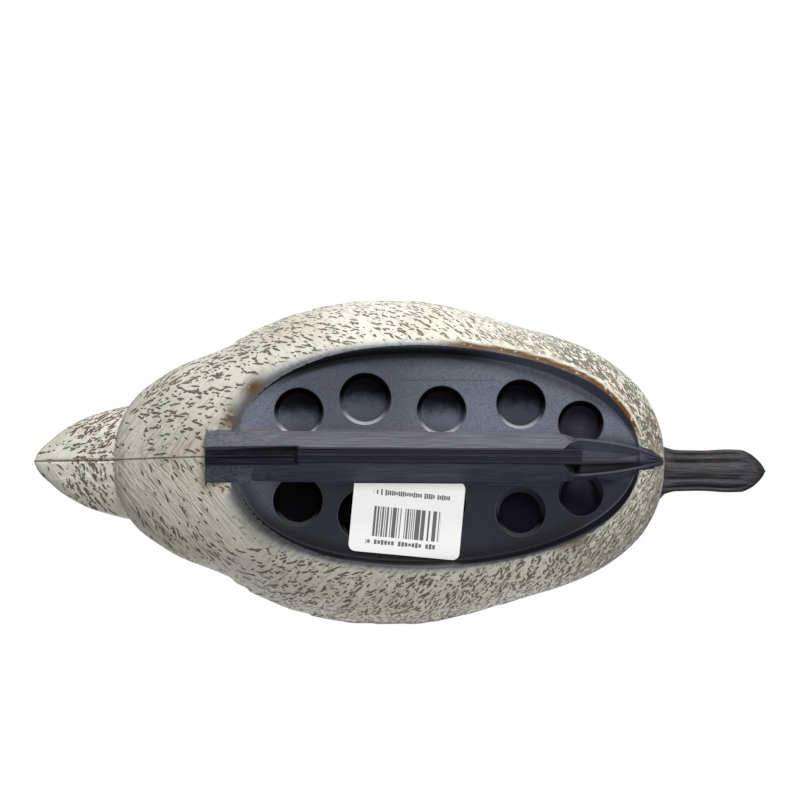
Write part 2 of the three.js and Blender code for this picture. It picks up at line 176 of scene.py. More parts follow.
head_middle = curve([
    (NECK_LOW, 66), (66, 71), (76, 77), (85, 82), (93, 86.5), (101, 91), (109, 95.5), (117, 97.5),
    (126, 97.5), (134, 95.5), (141, 93), (HEAD_TOP, 90.5),
])
head_half_length = curve([
    (NECK_LOW, 48), (66, 41), (76, 35.5), (85, 30), (93, 26), (101, 24.6), (109, 26.8), (117, 28.6),
    (126, 27.8), (134, 24.6), (139.5, 20.6), (143.6, 15.6), (146.6, 9.2), (HEAD_TOP, 0),
])
head_half_width = curve([
    (NECK_LOW, 45), (66, 38.5), (76, 32.5), (85, 26.6), (93, 22), (101, 19.3), (109, 19), (117, 19.6),
    (126, 19), (134, 16.8), (139.5, 13.8), (143.6, 10.4), (146.6, 6.2), (HEAD_TOP, 0),
])
bill_half_width = curve([
    (BILL_ROOT, 13.5), (121, 11.6), (128, 9.9), (140, 9.7), (152, 10.3), (158, 10.1), (162.8, 8.2),
    (166.6, 5.2), (169, 2.4), (BILL_TIP, 0.4),
])
bill_top = curve([
    (BILL_ROOT, 131), (121, 128.4), (129, 123.4), (139, 118.8), (150, 115.8), (161, 114.4), (167, 113.4),
    (BILL_TIP, 111.2),
])
bill_bottom = curve([(BILL_ROOT, 108), (122, 107.6), (140, 107), (158, 107), (166, 107.6), (BILL_TIP, 109.4)])
tail_half_width = curve([
    (TAIL_TIP, 0.6), (-168.8, 3.4), (-166.8, 6.1), (-162.2, 10.2), (-157.7, 14), (-153, 16.9), (-148.6, 19.3),
    (-144, 21.3), (-135, 24), (-125, 26.2), (-110, 27.5), (TAIL_ROOT, 26),
])
tail_top = curve([(TAIL_TIP, 66.4), (-160, 68.6), (-145, 71.6), (-128, 74.5), (-110, 76.5), (TAIL_ROOT, 79)])
tail_bottom = curve([(TAIL_TIP, 64.6), (-160, 60.6), (-145, 55.4), (-128, 50), (-110, 45), (TAIL_ROOT, 42)])
keel_bottom = curve([(KEEL_BACK, 13.6), (-70, 6.6), (-54, 1), (STRIP_BACK, 0)])
keel_flank = curve([(KEEL_BACK, 16.6), (-72, 13.4), (-56, PANEL_Z)])
keel_half_width = curve([(KEEL_TAPER, KEEL_HALF_WIDTH), (67, 10.7), (71, 9.8), (74.5, 8.2), (KEEL_FRONT, 6)])
prow_half_width = curve([
    (PROW_BACK, 8.6), (76, 8.3), (86.6, 7.3), (95.5, 5.9), (104.5, 3.8), (111, 1.9), (PROW_TIP, 0.4),
])
prow_bottom = curve([
    (PROW_BACK, 11.5), (70, 8.2), (76, 5.4), (84, 5.2), (96, 7), (101, 9), (105, 12.2), (108, 16.6),
    (111, 22.4), (113, 28), (PROW_TIP, 33.5),
])
wing_edge = curve([(-122, 14), (-105, 34), (-80, 50), (-45, 62), (-5, 66), (30, 60), (52, 38), (60, 20)])
flank_edge = curve([(-76, 78), (-50, 88), (-10, 96), (30, 92), (56, 84)])


# Feathers: each is laid on the body as a leaf shape, in the plane of X and the distance from the middle of
# the back
MANTLE, SCAPULAR, WING, SPECULUM, PRIMARY, FLANK, RUMP_FEATHER = range(1, 8)


def leaf(x, side, length, width, turn, lift, kind):
    """One feather by its tip. turn is how far it points away from the middle of the back, in degrees."""
    return (x, side, length, width, math.radians(turn), lift, kind)


def feather_rows(x_from, x_to, step, edges, side_step, length, width, turn, lift, kind, shuffle):
    """Staggered rows of feathers, the rearmost row first so that the others lie over it."""
    laid = []
    count = max(1, round(abs(x_to - x_from) / step))
    for row in range(count + 1):
        x = x_from + (x_to - x_from) * row / count
        low, high = edges(x)
        side = low + (0.5 * side_step if row % 2 else 0)
        while side <= high:
            jog = shuffle.normal(0, 0.06, 4)
            laid.append(leaf(
                x + jog[0] * step, side + jog[1] * side_step, length * (1 + jog[2]), width * (1 + jog[3]),
                turn, lift, kind,
            ))
            side += side_step
    return laid


def lay_out_feathers():
    shuffle = np.random.default_rng(7)
    laid = feather_rows(-126, -62, 8.5, lambda x: (0, 30), 9, 15, 10.5, 0, 0.5, RUMP_FEATHER, shuffle)
    for i in range(5):
        laid.append(leaf(-126 + 5.2 * i, 7 + 5.5 * i, 58, 8.5, -9, 1.1, PRIMARY))
    for i in range(5):
        laid.append(leaf(-104 + 4.6 * i, 37 + 4.4 * i, 46, 10, -4, 1.1, SPECULUM))
    laid += feather_rows(-52, 34, 10, lambda x: (30, wing_edge(x) + 2), 10, 17, 12.5, 3, 0.7, WING, shuffle)
    for i in range(4):
        laid.append(leaf(-92 + 9 * i, 17 + 8 * i, 56 - 4 * i, 14, -3, 1.3, WING))
    laid += feather_rows(
        -46, 34, 13, lambda x: (6, 34 + 0.22 * (x + 46)), 13.5, 27, 16.5, 6, 1.0, SCAPULAR, shuffle,
    )
    laid += feather_rows(22, 62, 8.5, lambda x: (0, 44), 9.5, 15, 11.5, 4, 0.6, MANTLE, shuffle)
    laid += feather_rows(
        -70, 52, 13.5, lambda x: (wing_edge(x) + 7, flank_edge(x) + 2), 14.5, 28, 17.5, -6, 0.95, FLANK,
        shuffle,
    )
    return laid


FEATHERS = lay_out_feathers()
FEATHER_ROUND = 0.52


def plumage(x, side):
    """The uppermost feather at each point: how far it lifts the surface, and where on it the point lies."""
    lift = np.zeros_like(x)
    along = np.zeros_like(x)
    across = np.zeros_like(x)
    border = np.ones_like(x)
    kind = np.zeros_like(x)
    tint = np.full_like(x, 0.5)
    for number, (tip_x, tip_side, length, width, turn, height, sort) in enumerate(FEATHERS):
        close = (np.abs(x - tip_x - 0.5 * length) < length) & (np.abs(side - tip_side) < 0.6 * length)
        near = np.nonzero(close)[0]
        if not len(near):
            continue
        back = tip_x - x[near]
        down = side[near] - tip_side
        a = 1 + (back * math.cos(turn) + down * math.sin(turn)) / length
        b = (down * math.cos(turn) - back * math.sin(turn)) / (0.5 * width)
        taper = 1 - 0.25 * np.clip(1 - a, 0, 1)
        radius = np.sqrt(np.clip((a - FEATHER_ROUND) / (1 - FEATHER_ROUND), 0, None) ** 2 + (b / taper) ** 2)
        cover = ramp(1.05, 0.93, radius) * ramp(-0.25, 0.1, a)
        here = near[cover > 0.5]
        level = height * (0.25 + 0.75 * np.clip(a, 0, 1)) + 0.18 * height * (1 - np.clip(b * b, 0, 1))
        lift[near] += cover * (level - lift[near])
        hit = cover > 0.5
        along[here] = a[hit]
        across[here] = b[hit]
        border[here] = radius[hit]
        kind[here] = sort
        tint[here] = (number * 0.6180339) % 1
    return lift, along, across, border, kind, tint


def body_side(x, y, z):
    """Distance from the middle of the back, round the body's section, to a point on the body."""
    width = np.maximum(body_half_width(x), 0.5)
    waist = body_waist(x)
    above = z >= waist
    up = np.maximum(body_top(x) - waist, 0.5)
    down = np.maximum(waist - body_bottom(x), 0.5)
    ratio = np.abs(y) / width
    angle_up = np.arctan2((z - waist) / up, ratio ** (UPPER_POWER / 2))
    angle_down = np.arctan2((waist - z) / down, ratio ** (LOWER_POWER / 2))
    reach_up = np.sqrt((width ** 2 + up ** 2) / 2)
    reach_down = np.sqrt((width ** 2 + down ** 2) / 2)
    from_top = (math.pi / 2 - angle_up) * reach_up
    return np.where(above, from_top, math.pi / 2 * reach_up + angle_down * reach_down)


def body_points(x, angle):
    """The body's surface with its carved feathers, for arrays of places and angles round the section."""
    width = body_half_width(x)
    waist = body_waist(x)
    upper = np.sin(angle) >= 0
    height = np.where(upper, body_top(x) - waist, waist - body_bottom(x))
    power = np.where(upper, 2 / UPPER_POWER, 2 / LOWER_POWER)
    y = width * signed_power(np.cos(angle), power)
    z = waist + height * np.sin(angle)
    side = body_side(x, y, z)
    lift = body_lift(x, side)
    slope_y = np.cos(angle) / np.maximum(width, 1)
    slope_z = np.sin(angle) / np.maximum(height, 1)
    size = np.hypot(slope_y, slope_z)
    return np.stack((x, y + lift * slope_y / size, z + lift * slope_z / size), axis=-1)


def body_lift(x, side):
    """Height of the carving: the folded wing and the side feathers stand proud, with each feather on top."""
    lift = plumage(x.ravel(), side.ravel())[0].reshape(x.shape)
    wing_front = 1 - ramp(44, 60, x)
    below_wing = ramp(-1.2, 1.2, side - wing_edge(x))
    in_wing = ramp(-126, -119, x) * wing_front * (1 - below_wing)
    flank_fade = ramp(-79, -76, x) * (1 - ramp(44, 62, x))
    in_flank = flank_fade * below_wing * (1 - ramp(-9, 9, side - flank_edge(x)))
    near_waist = ramp(-6, 8, side - flank_edge(x))
    height = 1.5 * in_wing + 1.3 * in_flank + lift * (0.35 + 0.65 * np.maximum(in_wing, in_flank))
    return height * (1 - near_waist)


# Meshes

def mesh_object(name, points, faces):
    mesh = bpy.data.meshes.new(name)
    mesh.from_pydata((np.asarray(points) * MM).tolist(), [], faces)
    mesh.validate()
    mesh.update()
    mesh.shade_smooth()
    thing = bpy.data.objects.new(name, mesh)
    bpy.context.scene.collection.objects.link(thing)
    return thing


def loft(name, rings):
    """A closed mesh through rings of equal counts, with a flat cap at each end."""
    rings = np.asarray(rings, float)
    count, sides, _ = rings.shape
    points = rings.reshape(-1, 3)
    i, j = np.meshgrid(np.arange(count - 1), np.arange(sides), indexing="ij")
    a = (i * sides + j).ravel()
    b = (i * sides + (j + 1) % sides).ravel()
    quads = np.stack((a, b, b + sides, a + sides), axis=1)
    first = list(range(sides))[::-1]
    last = [(count - 1) * sides + k for k in range(sides)]
    p, q, r, s = (points[quads[:, k]] for k in range(4))
    volume = np.einsum("ij,ij->", p, np.cross(q, r)) + np.einsum("ij,ij->", p, np.cross(r, s))
    faces = quads.tolist() + [first, last]
    if volume < 0:
        faces = [face[::-1] for face in faces]
    return mesh_object(name, points, faces)


def join(base, other, operation):
    """Boolean of two closed meshes; other is used up."""
    cut = base.modifiers.new("join", "BOOLEAN")
    cut.operation = operation
    cut.solver = "MANIFOLD"
    cut.object = other
    depsgraph = bpy.context.evaluated_depsgraph_get()
    result = bpy.data.meshes.new_from_object(base.evaluated_get(depsgraph))
    base.modifiers.clear()
    base.data = result
    bpy.data.objects.remove(other)
    return base


def stations(start, end, count, ease=0.28):
    """Places between start and end, which lie closer together towards both ends."""
    t = (np.arange(count) + 0.5) / count
    return start + (end - start) * ((1 - ease) * t + ease * (0.5 - 0.5 * np.cos(math.pi * t)))


def ring_angles(count):
    return 2 * math.pi * np.arange(count) / count


def make_body():
    upper_share = 0.72
    upper_count = round(BODY_SIDES * upper_share)
    low = math.radians(35)
    upper = -low + (math.pi + 2 * low) * np.arange(upper_count) / upper_count
    lower_count = BODY_SIDES - upper_count
    lower = math.pi + low + (math.pi - 2 * low) * np.arange(lower_count) / lower_count
    angles = np.concatenate((upper, lower))
    middle = stations(RUMP + 0.4, BREAST - 0.3, BODY_RINGS)
    places = np.concatenate(([RUMP + 0.04, RUMP + 0.2], middle, [BREAST - 0.2, BREAST - 0.04]))
    x, angle = np.meshgrid(places, angles, indexing="ij")
    return loft("body", body_points(x, angle))


def make_head():
    levels = np.concatenate((stations(NECK_LOW, HEAD_TOP - 0.05, HEAD_RINGS, 0.3), [HEAD_TOP - 0.02]))
    z, angle = np.meshgrid(levels, ring_angles(HEAD_SIDES), indexing="ij")
    front = np.cos(angle) > 0
    power = np.where(front, 2 / HEAD_FRONT_POWER, 1)
    x = head_middle(z) + head_half_length(z) * signed_power(np.cos(angle), power)
    y = head_half_width(z) * signed_power(np.sin(angle), power)
    return loft("head", np.stack((x, y, z), axis=-1))


def make_bill():
    places = np.concatenate((stations(BILL_ROOT, BILL_TIP - 0.1, BILL_RINGS, 0.5), [BILL_TIP]))
    x, angle = np.meshgrid(places, ring_angles(BILL_SIDES), indexing="ij")
    edge = bill_bottom(x) + LOWER_BILL
    upper = np.sin(angle) > 0
    height = np.where(upper, bill_top(x) - edge, edge - bill_bottom(x))
    width = bill_half_width(x)
    across = signed_power(np.cos(angle), np.where(upper, 1, 0.7))
    z = edge + height * signed_power(np.sin(angle), np.where(upper, 1.25, 0.8))
    run = ramp(BILL_ROOT + 6, 128, x) * (1 - ramp(154, 163, x))
    groove = 1.1 * np.exp(-((np.abs(across) - 0.42) / 0.07) ** 2)
    groove += 0.8 * np.exp(-((np.abs(across) - 0.78) / 0.06) ** 2)
    ridge = 0.7 * np.exp(-(across / 0.14) ** 2)
    z = z + np.where(upper, 0, (groove - ridge) * run)
    nail = np.exp(-((x - BILL_NAIL) / 3.2) ** 2 - (across / 0.5) ** 2)
    z = z + np.where(upper, 0.7, -0.5) * nail
    lip = np.exp(-((angle % math.pi) / 0.09) ** 2) + np.exp(-(((angle % math.pi) - math.pi) / 0.09) ** 2)
    y = width * across * (1 - 0.03 * lip * run)
    return loft("bill", np.stack((x, y, z), axis=-1))


def make_tail():
    places = np.concatenate(([TAIL_TIP], stations(TAIL_TIP + 0.1, TAIL_ROOT, TAIL_RINGS, 0.4)))
    x, angle = np.meshgrid(places, ring_angles(TAIL_SIDES), indexing="ij")
    width = tail_half_width(x)
    edge = tail_bottom(x) + 0.62 * (tail_top(x) - tail_bottom(x))
    upper = np.sin(angle) > 0
    height = np.where(upper, tail_top(x) - edge, edge - tail_bottom(x))
    y = width * np.cos(angle)
    blade = tail_blade(x, y) * np.abs(np.sin(angle)) * ramp(TAIL_TIP, -160, x)
    z = edge + (height + blade) * signed_power(np.sin(angle), 1.1)
    return loft("tail", np.stack((x, y, z), axis=-1))


def tail_fan(x, y):
    """Which tail feather a point is on, as a number that grows from the middle outwards."""
    return np.arctan2(np.abs(y), TAIL_FAN_CENTRE - x) * (TAIL_FEATHERS / TAIL_FAN_SPREAD)


def tail_blade(x, y):
    part = tail_fan(x, y) % 1
    return 0.9 * ramp(0, 0.14, part) * (1 - 0.75 * part)


def well_ring(z, extra):
    """The outline of the well at a height, drawn in by extra."""
    rise = (z - RIM_Z) / (PANEL_Z - RIM_Z)
    angle = ring_angles(WELL_SIDES)
    back = np.cos(angle) < 0
    power = 2 / np.where(back, WELL_BACK_POWER, WELL_FRONT_POWER)
    reach = np.where(back, WELL_BACK - WELL_INSET * rise, WELL_FRONT - WELL_FRONT_INSET * rise) - extra
    x = WELL_CENTRE + reach * signed_power(np.cos(angle), power)
    y = (WELL_HALF_WIDTH - WELL_INSET * rise - extra) * signed_power(np.sin(angle), power)
    return np.stack((x, y, np.full(WELL_SIDES, z)), axis=-1)


def make_well_cutter():
    fillet = 1.6
    rings = [well_ring(-20, 0), well_ring(PANEL_Z - fillet, 0)]
    for step in (0.35, 0.65, 0.85, 1):
        turn = step * math.pi / 2
        rings.append(well_ring(PANEL_Z - fillet * (1 - math.sin(turn)), 0.8 * fillet * (1 - math.cos(turn))))
    return loft("well", rings)


def make_recess_cutter(x, y, radius):
    fillet = 1.4
    slope = radius * (1 - RECESS_DRAFT) / RECESS_DEPTH
    profile = [(-3, radius + 1.2), (-0.35, radius + 0.5), (0.3, radius)]
    profile.append((RECESS_DEPTH - fillet, radius - slope * (RECESS_DEPTH - fillet)))
    for step in (0.4, 0.7, 1):
        turn = step * math.pi / 2
        depth = RECESS_DEPTH - fillet * (1 - math.sin(turn))
        profile.append((depth, radius - slope * depth - fillet * (1 - math.cos(turn))))
    sides = 56
    angle = ring_angles(sides)
    rings = [
        np.stack((x + r * np.cos(angle), y + r * np.sin(angle), np.full(sides, PANEL_Z + depth)), axis=-1)
        for depth, r in profile
    ]
    return loft("recess", rings)


def swept(name, places, section):
    """A loft along the bird, from one half of its section at each place, given from below upwards."""
    rings = []
    for x in places:
        half = section(x)
        rings.append([(x, y, z) for y, z in half + [(-y, z) for y, z in reversed(half)]])
    return loft(name, rings)


def strip_profile(half, low):
    """Half of the keel strip's section: two grooves beside a thin middle ridge, and a raised edge."""
    cut = low + GROOVE_DEPTH
    grooves = [(0.3, low + 0.15), (0.5, cut), (1.2, cut), (1.4, low + 0.3), (1.6, cut), (2.4, cut)]
    return grooves + [(2.6, low), (half, low + 0.1)]


def keel_section(x):
    half = keel_half_width(x)
    low = keel_bottom(x)
    flank = keel_flank(x)
    strip = min(STRIP_HALF_WIDTH, half - 1)
    side = [(strip + 0.35, low + 0.5), (half - 0.5, flank - 1), (half, flank + 0.1), (half, KEEL_ROOT)]
    return strip_profile(strip, low) + side


def make_keel():
    rear = np.linspace(KEEL_BACK, STRIP_BACK, 24)
    front = np.linspace(KEEL_TAPER, STRIP_FRONT, 14)
    return swept("keel", np.concatenate((rear, [0, 40, 56], front)), keel_section)


def make_channel_cutter():
    start = KEEL_BACK + 2.5
    half_at = curve([(start, 1.6), (-66, 3.6), (STRIP_BACK, 3.9)])
    depth_at = curve([(start, 0.8), (-66, 3.6), (STRIP_BACK, 5.2)])
    ridge = 0.35

    def section(x):
        half = half_at(x)
        low = keel_bottom(x)
        deep = low + depth_at(x)
        side = [(half + 1.6, low - 2), (half, low), (0.55 * half, deep - 0.4)]
        return side + [(ridge + 0.25, deep), (ridge, deep - 1.1)]

    return swept("channel", np.linspace(start, STRIP_BACK - 0.4, 12), section)


def prow_section(x):
    half = prow_half_width(x)
    low = prow_bottom(x)
    return [(half - 0.25, low), (half, low + 0.3), (half + 0.5, low + 16)]


def make_prow():
    return swept("prow", np.concatenate((stations(PROW_BACK, PROW_TIP, 40, 0), [PROW_TIP])), prow_section)


def hollow_section(x):
    reach = 0.3 + 0.7 * ramp(HOLLOW_BACK, 73, x)
    half = max((prow_half_width(x) - PROW_WALL) * reach, 0.25)
    low = min(prow_bottom(x), 5.6) if x < 84 else prow_bottom(x)
    deep = low + 5.2 * (1 - ramp(96, 114, x))
    shelf = 0.45 * half
    side = [(half + 0.25, low - 9), (half, low + 0.3), (0.9 * half, low + 1.2), (shelf, deep - 0.9)]
    return side + [(0.9 * shelf, deep - 1.3), (0.1, deep + 0.3), (0.05, deep + 0.9)]


def make_prow_hollow():
    return swept("hollow", stations(HOLLOW_BACK, HOLLOW_FRONT, 44, 0), hollow_section)


def strip_end_section(x):
    inset = 0.3 if x == STRIP_FRONT else 0
    half = STRIP_HALF_WIDTH - inset
    return strip_profile(half, inset) + [(half, STRIP_THICKNESS)]


def make_strip_end():
    """The grooved strip runs on past the keel, over the hollow of the prow."""
    return swept("strip_end", (STRIP_ROOT, STRIP_FRONT - 0.5, STRIP_FRONT), strip_end_section)


def ball(centre, size):
    z, angle = np.meshgrid(stations(-1, 1, 20, 1), ring_angles(32), indexing="ij")
    spread = np.sqrt(1 - z * z)
    points = np.stack((spread * np.cos(angle), spread * np.sin(angle), z), axis=-1)
    return loft("ball", points * np.array(size) + np.array(centre))


def make_decoy():
    decoy = make_body()
    for piece in (make_tail, make_head, make_bill):
        join(decoy, piece(), "UNION")
    soften_joints(decoy)
    join(decoy, make_well_cutter(), "DIFFERENCE")
    for mirror in (-1, 1):
        x, y, z = EYE
        join(decoy, ball((x, mirror * y, z), (EYE_RADIUS,) * 3), "UNION")
        x, y, z = NOSTRIL
        join(decoy, ball((x, mirror * y, z), NOSTRIL_SIZE), "DIFFERENCE")
        for x, y, radius in RECESSES:
            join(decoy, make_recess_cutter(x, mirror * y, radius), "DIFFERENCE")
    keel = join(join(make_keel(), make_channel_cutter(), "DIFFERENCE"), make_prow_hollow(), "DIFFERENCE")
    prow = join(make_prow(), make_prow_hollow(), "DIFFERENCE")
    for piece in (keel, prow, make_strip_end()):
        join(decoy, piece, "UNION")
    decoy.name = "teal_decoy"
    return decoy


def array_of(items, name):
    """One vector of each item of a mesh, such as the place of each vertex."""
    flat = np.empty(len(items) * 3)
    items.foreach_get(name, flat)
    return flat.reshape(-1, 3)


def points_of(thing):
    return array_of(thing.data.vertices, "co") / MM


def set_points(thing, points):
    thing.data.vertices.foreach_set("co", (points * MM).ravel())
    thing.data.update()


def body_reach(points):
    """About 1 on the plain body, more outside it and less inside."""
    x, y, z = points.T
    width = np.maximum(body_half_width(x), 0.5)
    waist = body_waist(x)
    above = z >= waist
    height = np.maximum(np.where(above, body_top(x) - waist, waist - body_bottom(x)), 0.5)
    power = np.where(above, UPPER_POWER, LOWER_POWER)
    inside = (np.abs(y) / width) ** power + ((z - waist) / height) ** 2
    ends = (x < RUMP) | (x > BREAST)
    return np.where(ends, 9, np.sqrt(inside))


def head_reach(x, y, z):
    """1 on the head, more outside it and less inside."""
    power = np.where(x > head_middle(z), HEAD_FRONT_POWER, 2)
    along = np.abs(x - head_middle(z)) / np.maximum(head_half_length(z), 0.5)
    across = np.abs(y) / np.maximum(head_half_width(z), 0.5)
    return (along ** power + across ** power) ** (1 / power)


def soften(thing, weight, rounds):
    """Moves each vertex towards the middle of its neighbours, as far as its weight says."""
    edges = np.empty(len(thing.data.edges) * 2, int)
    thing.data.edges.foreach_get("vertices", edges)
    a, b = edges.reshape(-1, 2).T
    keep = (weight[a] > 0) | (weight[b] > 0)
    a, b = a[keep], b[keep]
    points = points_of(thing)
    count = np.bincount(a, minlength=len(points)) + np.bincount(b, minlength=len(points))
    count = np.maximum(count, 1)[:, None]
    for _ in range(rounds):
        total = np.zeros_like(points)
        for axis in range(3):
            for here, there in ((a, b), (b, a)):
                total[:, axis] += np.bincount(here, points[there, axis], len(points))
        points += weight[:, None] * (total / count - points)
    set_points(thing, points)


def soften_joints(decoy):
    """Runs the neck into the body without a hard corner."""
    points = points_of(decoy)
    x, y, z = points.T
    head_size = np.maximum(np.minimum(head_half_length(z), head_half_width(z)), 0.5)
    head_gap = np.abs(head_reach(x, y, z) - 1) * head_size
    body_gap = np.abs(body_reach(points) - 1) * 45
    near_joint = np.clip(1 - (head_gap + body_gap) / 11, 0, 1) * ((z > 57) & (z < 104) & (x > 20))
    soften(decoy, 0.6 * ramp(0, 0.5, near_joint), 60)


# Shader nodes

def operator(name, swapped=False):
    """A Python operator that adds one math node."""
    def apply(value, *other):
        values = (*other, value) if swapped else (value, *other)
        return value.nodes.math(name, *values)

    return apply


class Value:
    """A socket's value. Sums of values are written as sums."""

    def __init__(self, nodes, socket):
        self.nodes = nodes
        self.socket = socket

    __add__ = __radd__ = operator("ADD")
    __sub__ = operator("SUBTRACT")
    __rsub__ = operator("SUBTRACT", swapped=True)
    __mul__ = __rmul__ = operator("MULTIPLY")
    __truediv__ = operator("DIVIDE")
    __rtruediv__ = operator("DIVIDE", swapped=True)
    __pow__ = operator("POWER")
    __abs__ = operator("ABSOLUTE")
    __lt__ = operator("LESS_THAN")
    __gt__ = operator("GREATER_THAN")

    def fade(self, start, end):
        """0 at start and 1 at end, with a smooth run between; start may be the larger."""
        inputs = {0: self, 1: start, 2: end}
        return self.nodes.value("ShaderNodeMapRange", inputs, interpolation_type="SMOOTHSTEP")

    def mix(self, amount, other):
        """This colour, with another laid over it by an amount from 0 to 1."""
        return self.nodes.mix(amount, self, other)


class Nodes:
    """Builds one node tree."""

    def __init__(self, tree):
        self.tree = tree

    def add(self, kind, inputs=(), **settings):
        node = self.tree.nodes.new(kind)
        for name, value in settings.items():
            setattr(node, name, value)
        for key, value in dict(inputs).items():
            self.put(node.inputs[key], value)
        return node

    def put(self, socket, value):
        value = getattr(value, "socket", value)
        if isinstance(value, bpy.types.NodeSocket):
            self.tree.links.new(value, socket)
        else:
            socket.default_value = value

    def value(self, kind, inputs=(), output=0, **settings):
        return Value(self, self.add(kind, inputs, **settings).outputs[output])

    def math(self, operation, *values, clamp=False):
        return self.value("ShaderNodeMath", enumerate(values), operation=operation, use_clamp=clamp)

    def vector(self, operation, *values):
        output = "Value" if operation in ("DOT_PRODUCT", "LENGTH") else "Vector"
        return self.value("ShaderNodeVectorMath", enumerate(values), output, operation=operation)

    def scale(self, vector, factor):
        return self.value("ShaderNodeVectorMath", {0: vector, "Scale": factor}, "Vector", operation="SCALE")

    def mix(self, amount, first, second):
        """first where amount is 0 and second where it is 1. A tuple is a screen colour."""
        node = self.add("ShaderNodeMix", {"Factor": amount}, data_type="RGBA")
        sockets = [socket for socket in node.inputs if socket.type == "RGBA"]
        for socket, value in zip(sockets, (first, second)):
            self.put(socket, colour(*value) if isinstance(value, tuple) else value)
        return Value(self, next(socket for socket in node.outputs if socket.type == "RGBA"))

    def noise(self, vector, scale, detail=3, roughness=0.5, distortion=0):
        inputs = {
            "Vector": vector, "Scale": scale, "Detail": detail, "Roughness": roughness,
            "Distortion": distortion,
        }
        return self.value("ShaderNodeTexNoise", inputs, "Fac")

    def attribute(self, name, output="Fac"):
        return self.value("ShaderNodeAttribute", output=output, attribute_name=name)

    def place(self):
        """The point's place in the frame, in millimetres."""
        return self.scale(self.value("ShaderNodeTexCoord", output="Object"), 1 / MM)

    def normal(self):
        return self.value("ShaderNodeNewGeometry", output="Normal")

    def parts(self, vector, kind="ShaderNodeSeparateXYZ"):
        return [Value(self, socket) for socket in self.add(kind, {0: vector}).outputs]

    def surface(self, hue, roughness, relief, depth, shine=0.5):
        """Feeds the tree's shader. relief stands depth millimetres high where it is 1."""
        bump = {"Height": relief, "Distance": depth * MM, "Strength": 1}
        normal = self.value("ShaderNodeBump", bump, "Normal")
        inputs = {"Base Color": hue, "Roughness": roughness, "Normal": normal, "Specular IOR Level": shine}
        for name, value in inputs.items():
            self.put(self.tree.nodes["Principled BSDF"].inputs[name], value)


def colour(red, green, blue):
    """A screen colour, 0 to 255, as the linear value that a shader takes."""
    def linear(value):
        value = value / 255
        return value / 12.92 if value <= 0.04045 else ((value + 0.055) / 1.055) ** 2.4

    return (linear(red), linear(green), linear(blue), 1.0)


def new_material(name):
    material = bpy.data.materials.new(name)
    material.use_nodes = True
    return material, Nodes(material.node_tree)


DASH_INPUTS = ("Place", "Flow", "Share", "Cell", "Length", "Width", "Turn")


def dash_group():
    """Short painted dashes: one to a Voronoi cell, laid along the stroke direction with a random turn."""
    tree = bpy.data.node_groups.new("dashes", "ShaderNodeTree")
    kinds = {"Place": "Vector", "Flow": "Vector"}
    for name in DASH_INPUTS:
        tree.interface.new_socket(name, in_out="INPUT", socket_type="NodeSocket" + kinds.get(name, "Float"))
    tree.interface.new_socket("Dash", in_out="OUTPUT", socket_type="NodeSocketFloat")
    nodes = Nodes(tree)
    given = nodes.add("NodeGroupInput").outputs
    place, flow, share, cell, length, width, turn = (Value(nodes, given[name]) for name in DASH_INPUTS)
    normal = nodes.normal()
    cells = nodes.add(
        "ShaderNodeTexVoronoi", {"Vector": place, "Scale": 1 / cell, "Randomness": 1},
        voronoi_dimensions="3D", feature="F1",
    ).outputs
    red, green, blue = nodes.parts(cells["Color"], "ShaderNodeSeparateColor")
    away = nodes.vector("SUBTRACT", place, cells["Position"])
    angle = (red - 0.5) * turn
    side = nodes.vector("CROSS_PRODUCT", normal, flow)
    ahead = nodes.vector(
        "ADD", nodes.scale(flow, nodes.math("COSINE", angle)), nodes.scale(side, nodes.math("SINE", angle)),
    )
    along = nodes.vector("DOT_PRODUCT", away, ahead)
    across = nodes.vector("DOT_PRODUCT", away, nodes.vector("CROSS_PRODUCT", normal, ahead))
    reach = along / (length * (0.45 + green * 0.55))
    taper = nodes.math("SUBTRACT", 1, reach * reach, clamp=True)
    inside = abs(across) / (width * (0.1 + taper * 0.9))
    body = inside.fade(1.15, 0.7) * taper.fade(0, 0.08)
    nodes.add("NodeGroupOutput", {"Dash": body * (blue < share)})
    return tree


DASHES = dash_group()

# Layers of dashes: more or less of them, cell, half length, half width, random turn, shift of the cells
DASH_LAYERS = [
    (1.3, 8.4, 4.6, 0.50, 0.45, 3), (1.2, 6.0, 3.3, 0.50, 0.5, 17), (1, 5.0, 2.5, 0.50, 0.8, 41),
    (1, 4.1, 1.8, 0.46, 1.0, 73), (1, 3.3, 1.2, 0.44, 1.6, 97),
]


def slanted(nodes, x, side, z, turn, scale):
    """Place on the body, with one axis along a slant from the middle line outwards and each axis scaled."""
    cosine, sine = math.cos(math.radians(turn)), math.sin(math.radians(turn))
    along = x * (cosine * scale[0]) + side * (sine * scale[0])
    across = side * (cosine * scale[1]) - x * (sine * scale[1])
    return nodes.value("ShaderNodeCombineXYZ", {0: along, 1: across, 2: z * scale[2]})


def painted_dashes(nodes, place):
    share = nodes.attribute("dashing") * (0.5 + nodes.noise(place, 0.09, 2) * 1.1)
    flow = nodes.attribute("flow", "Vector")
    dash = 0
    for more, cell, length, width, turn, shift in DASH_LAYERS:
        moved = nodes.vector("ADD", place, (shift, 0.37 * shift, -0.61 * shift))
        inputs = zip(DASH_INPUTS, (moved, flow, share * more, cell, length, width, turn))
        mark = nodes.value("ShaderNodeGroup", inputs, "Dash", node_tree=DASHES)
        dash = nodes.math("MAXIMUM", dash, mark)
    return dash


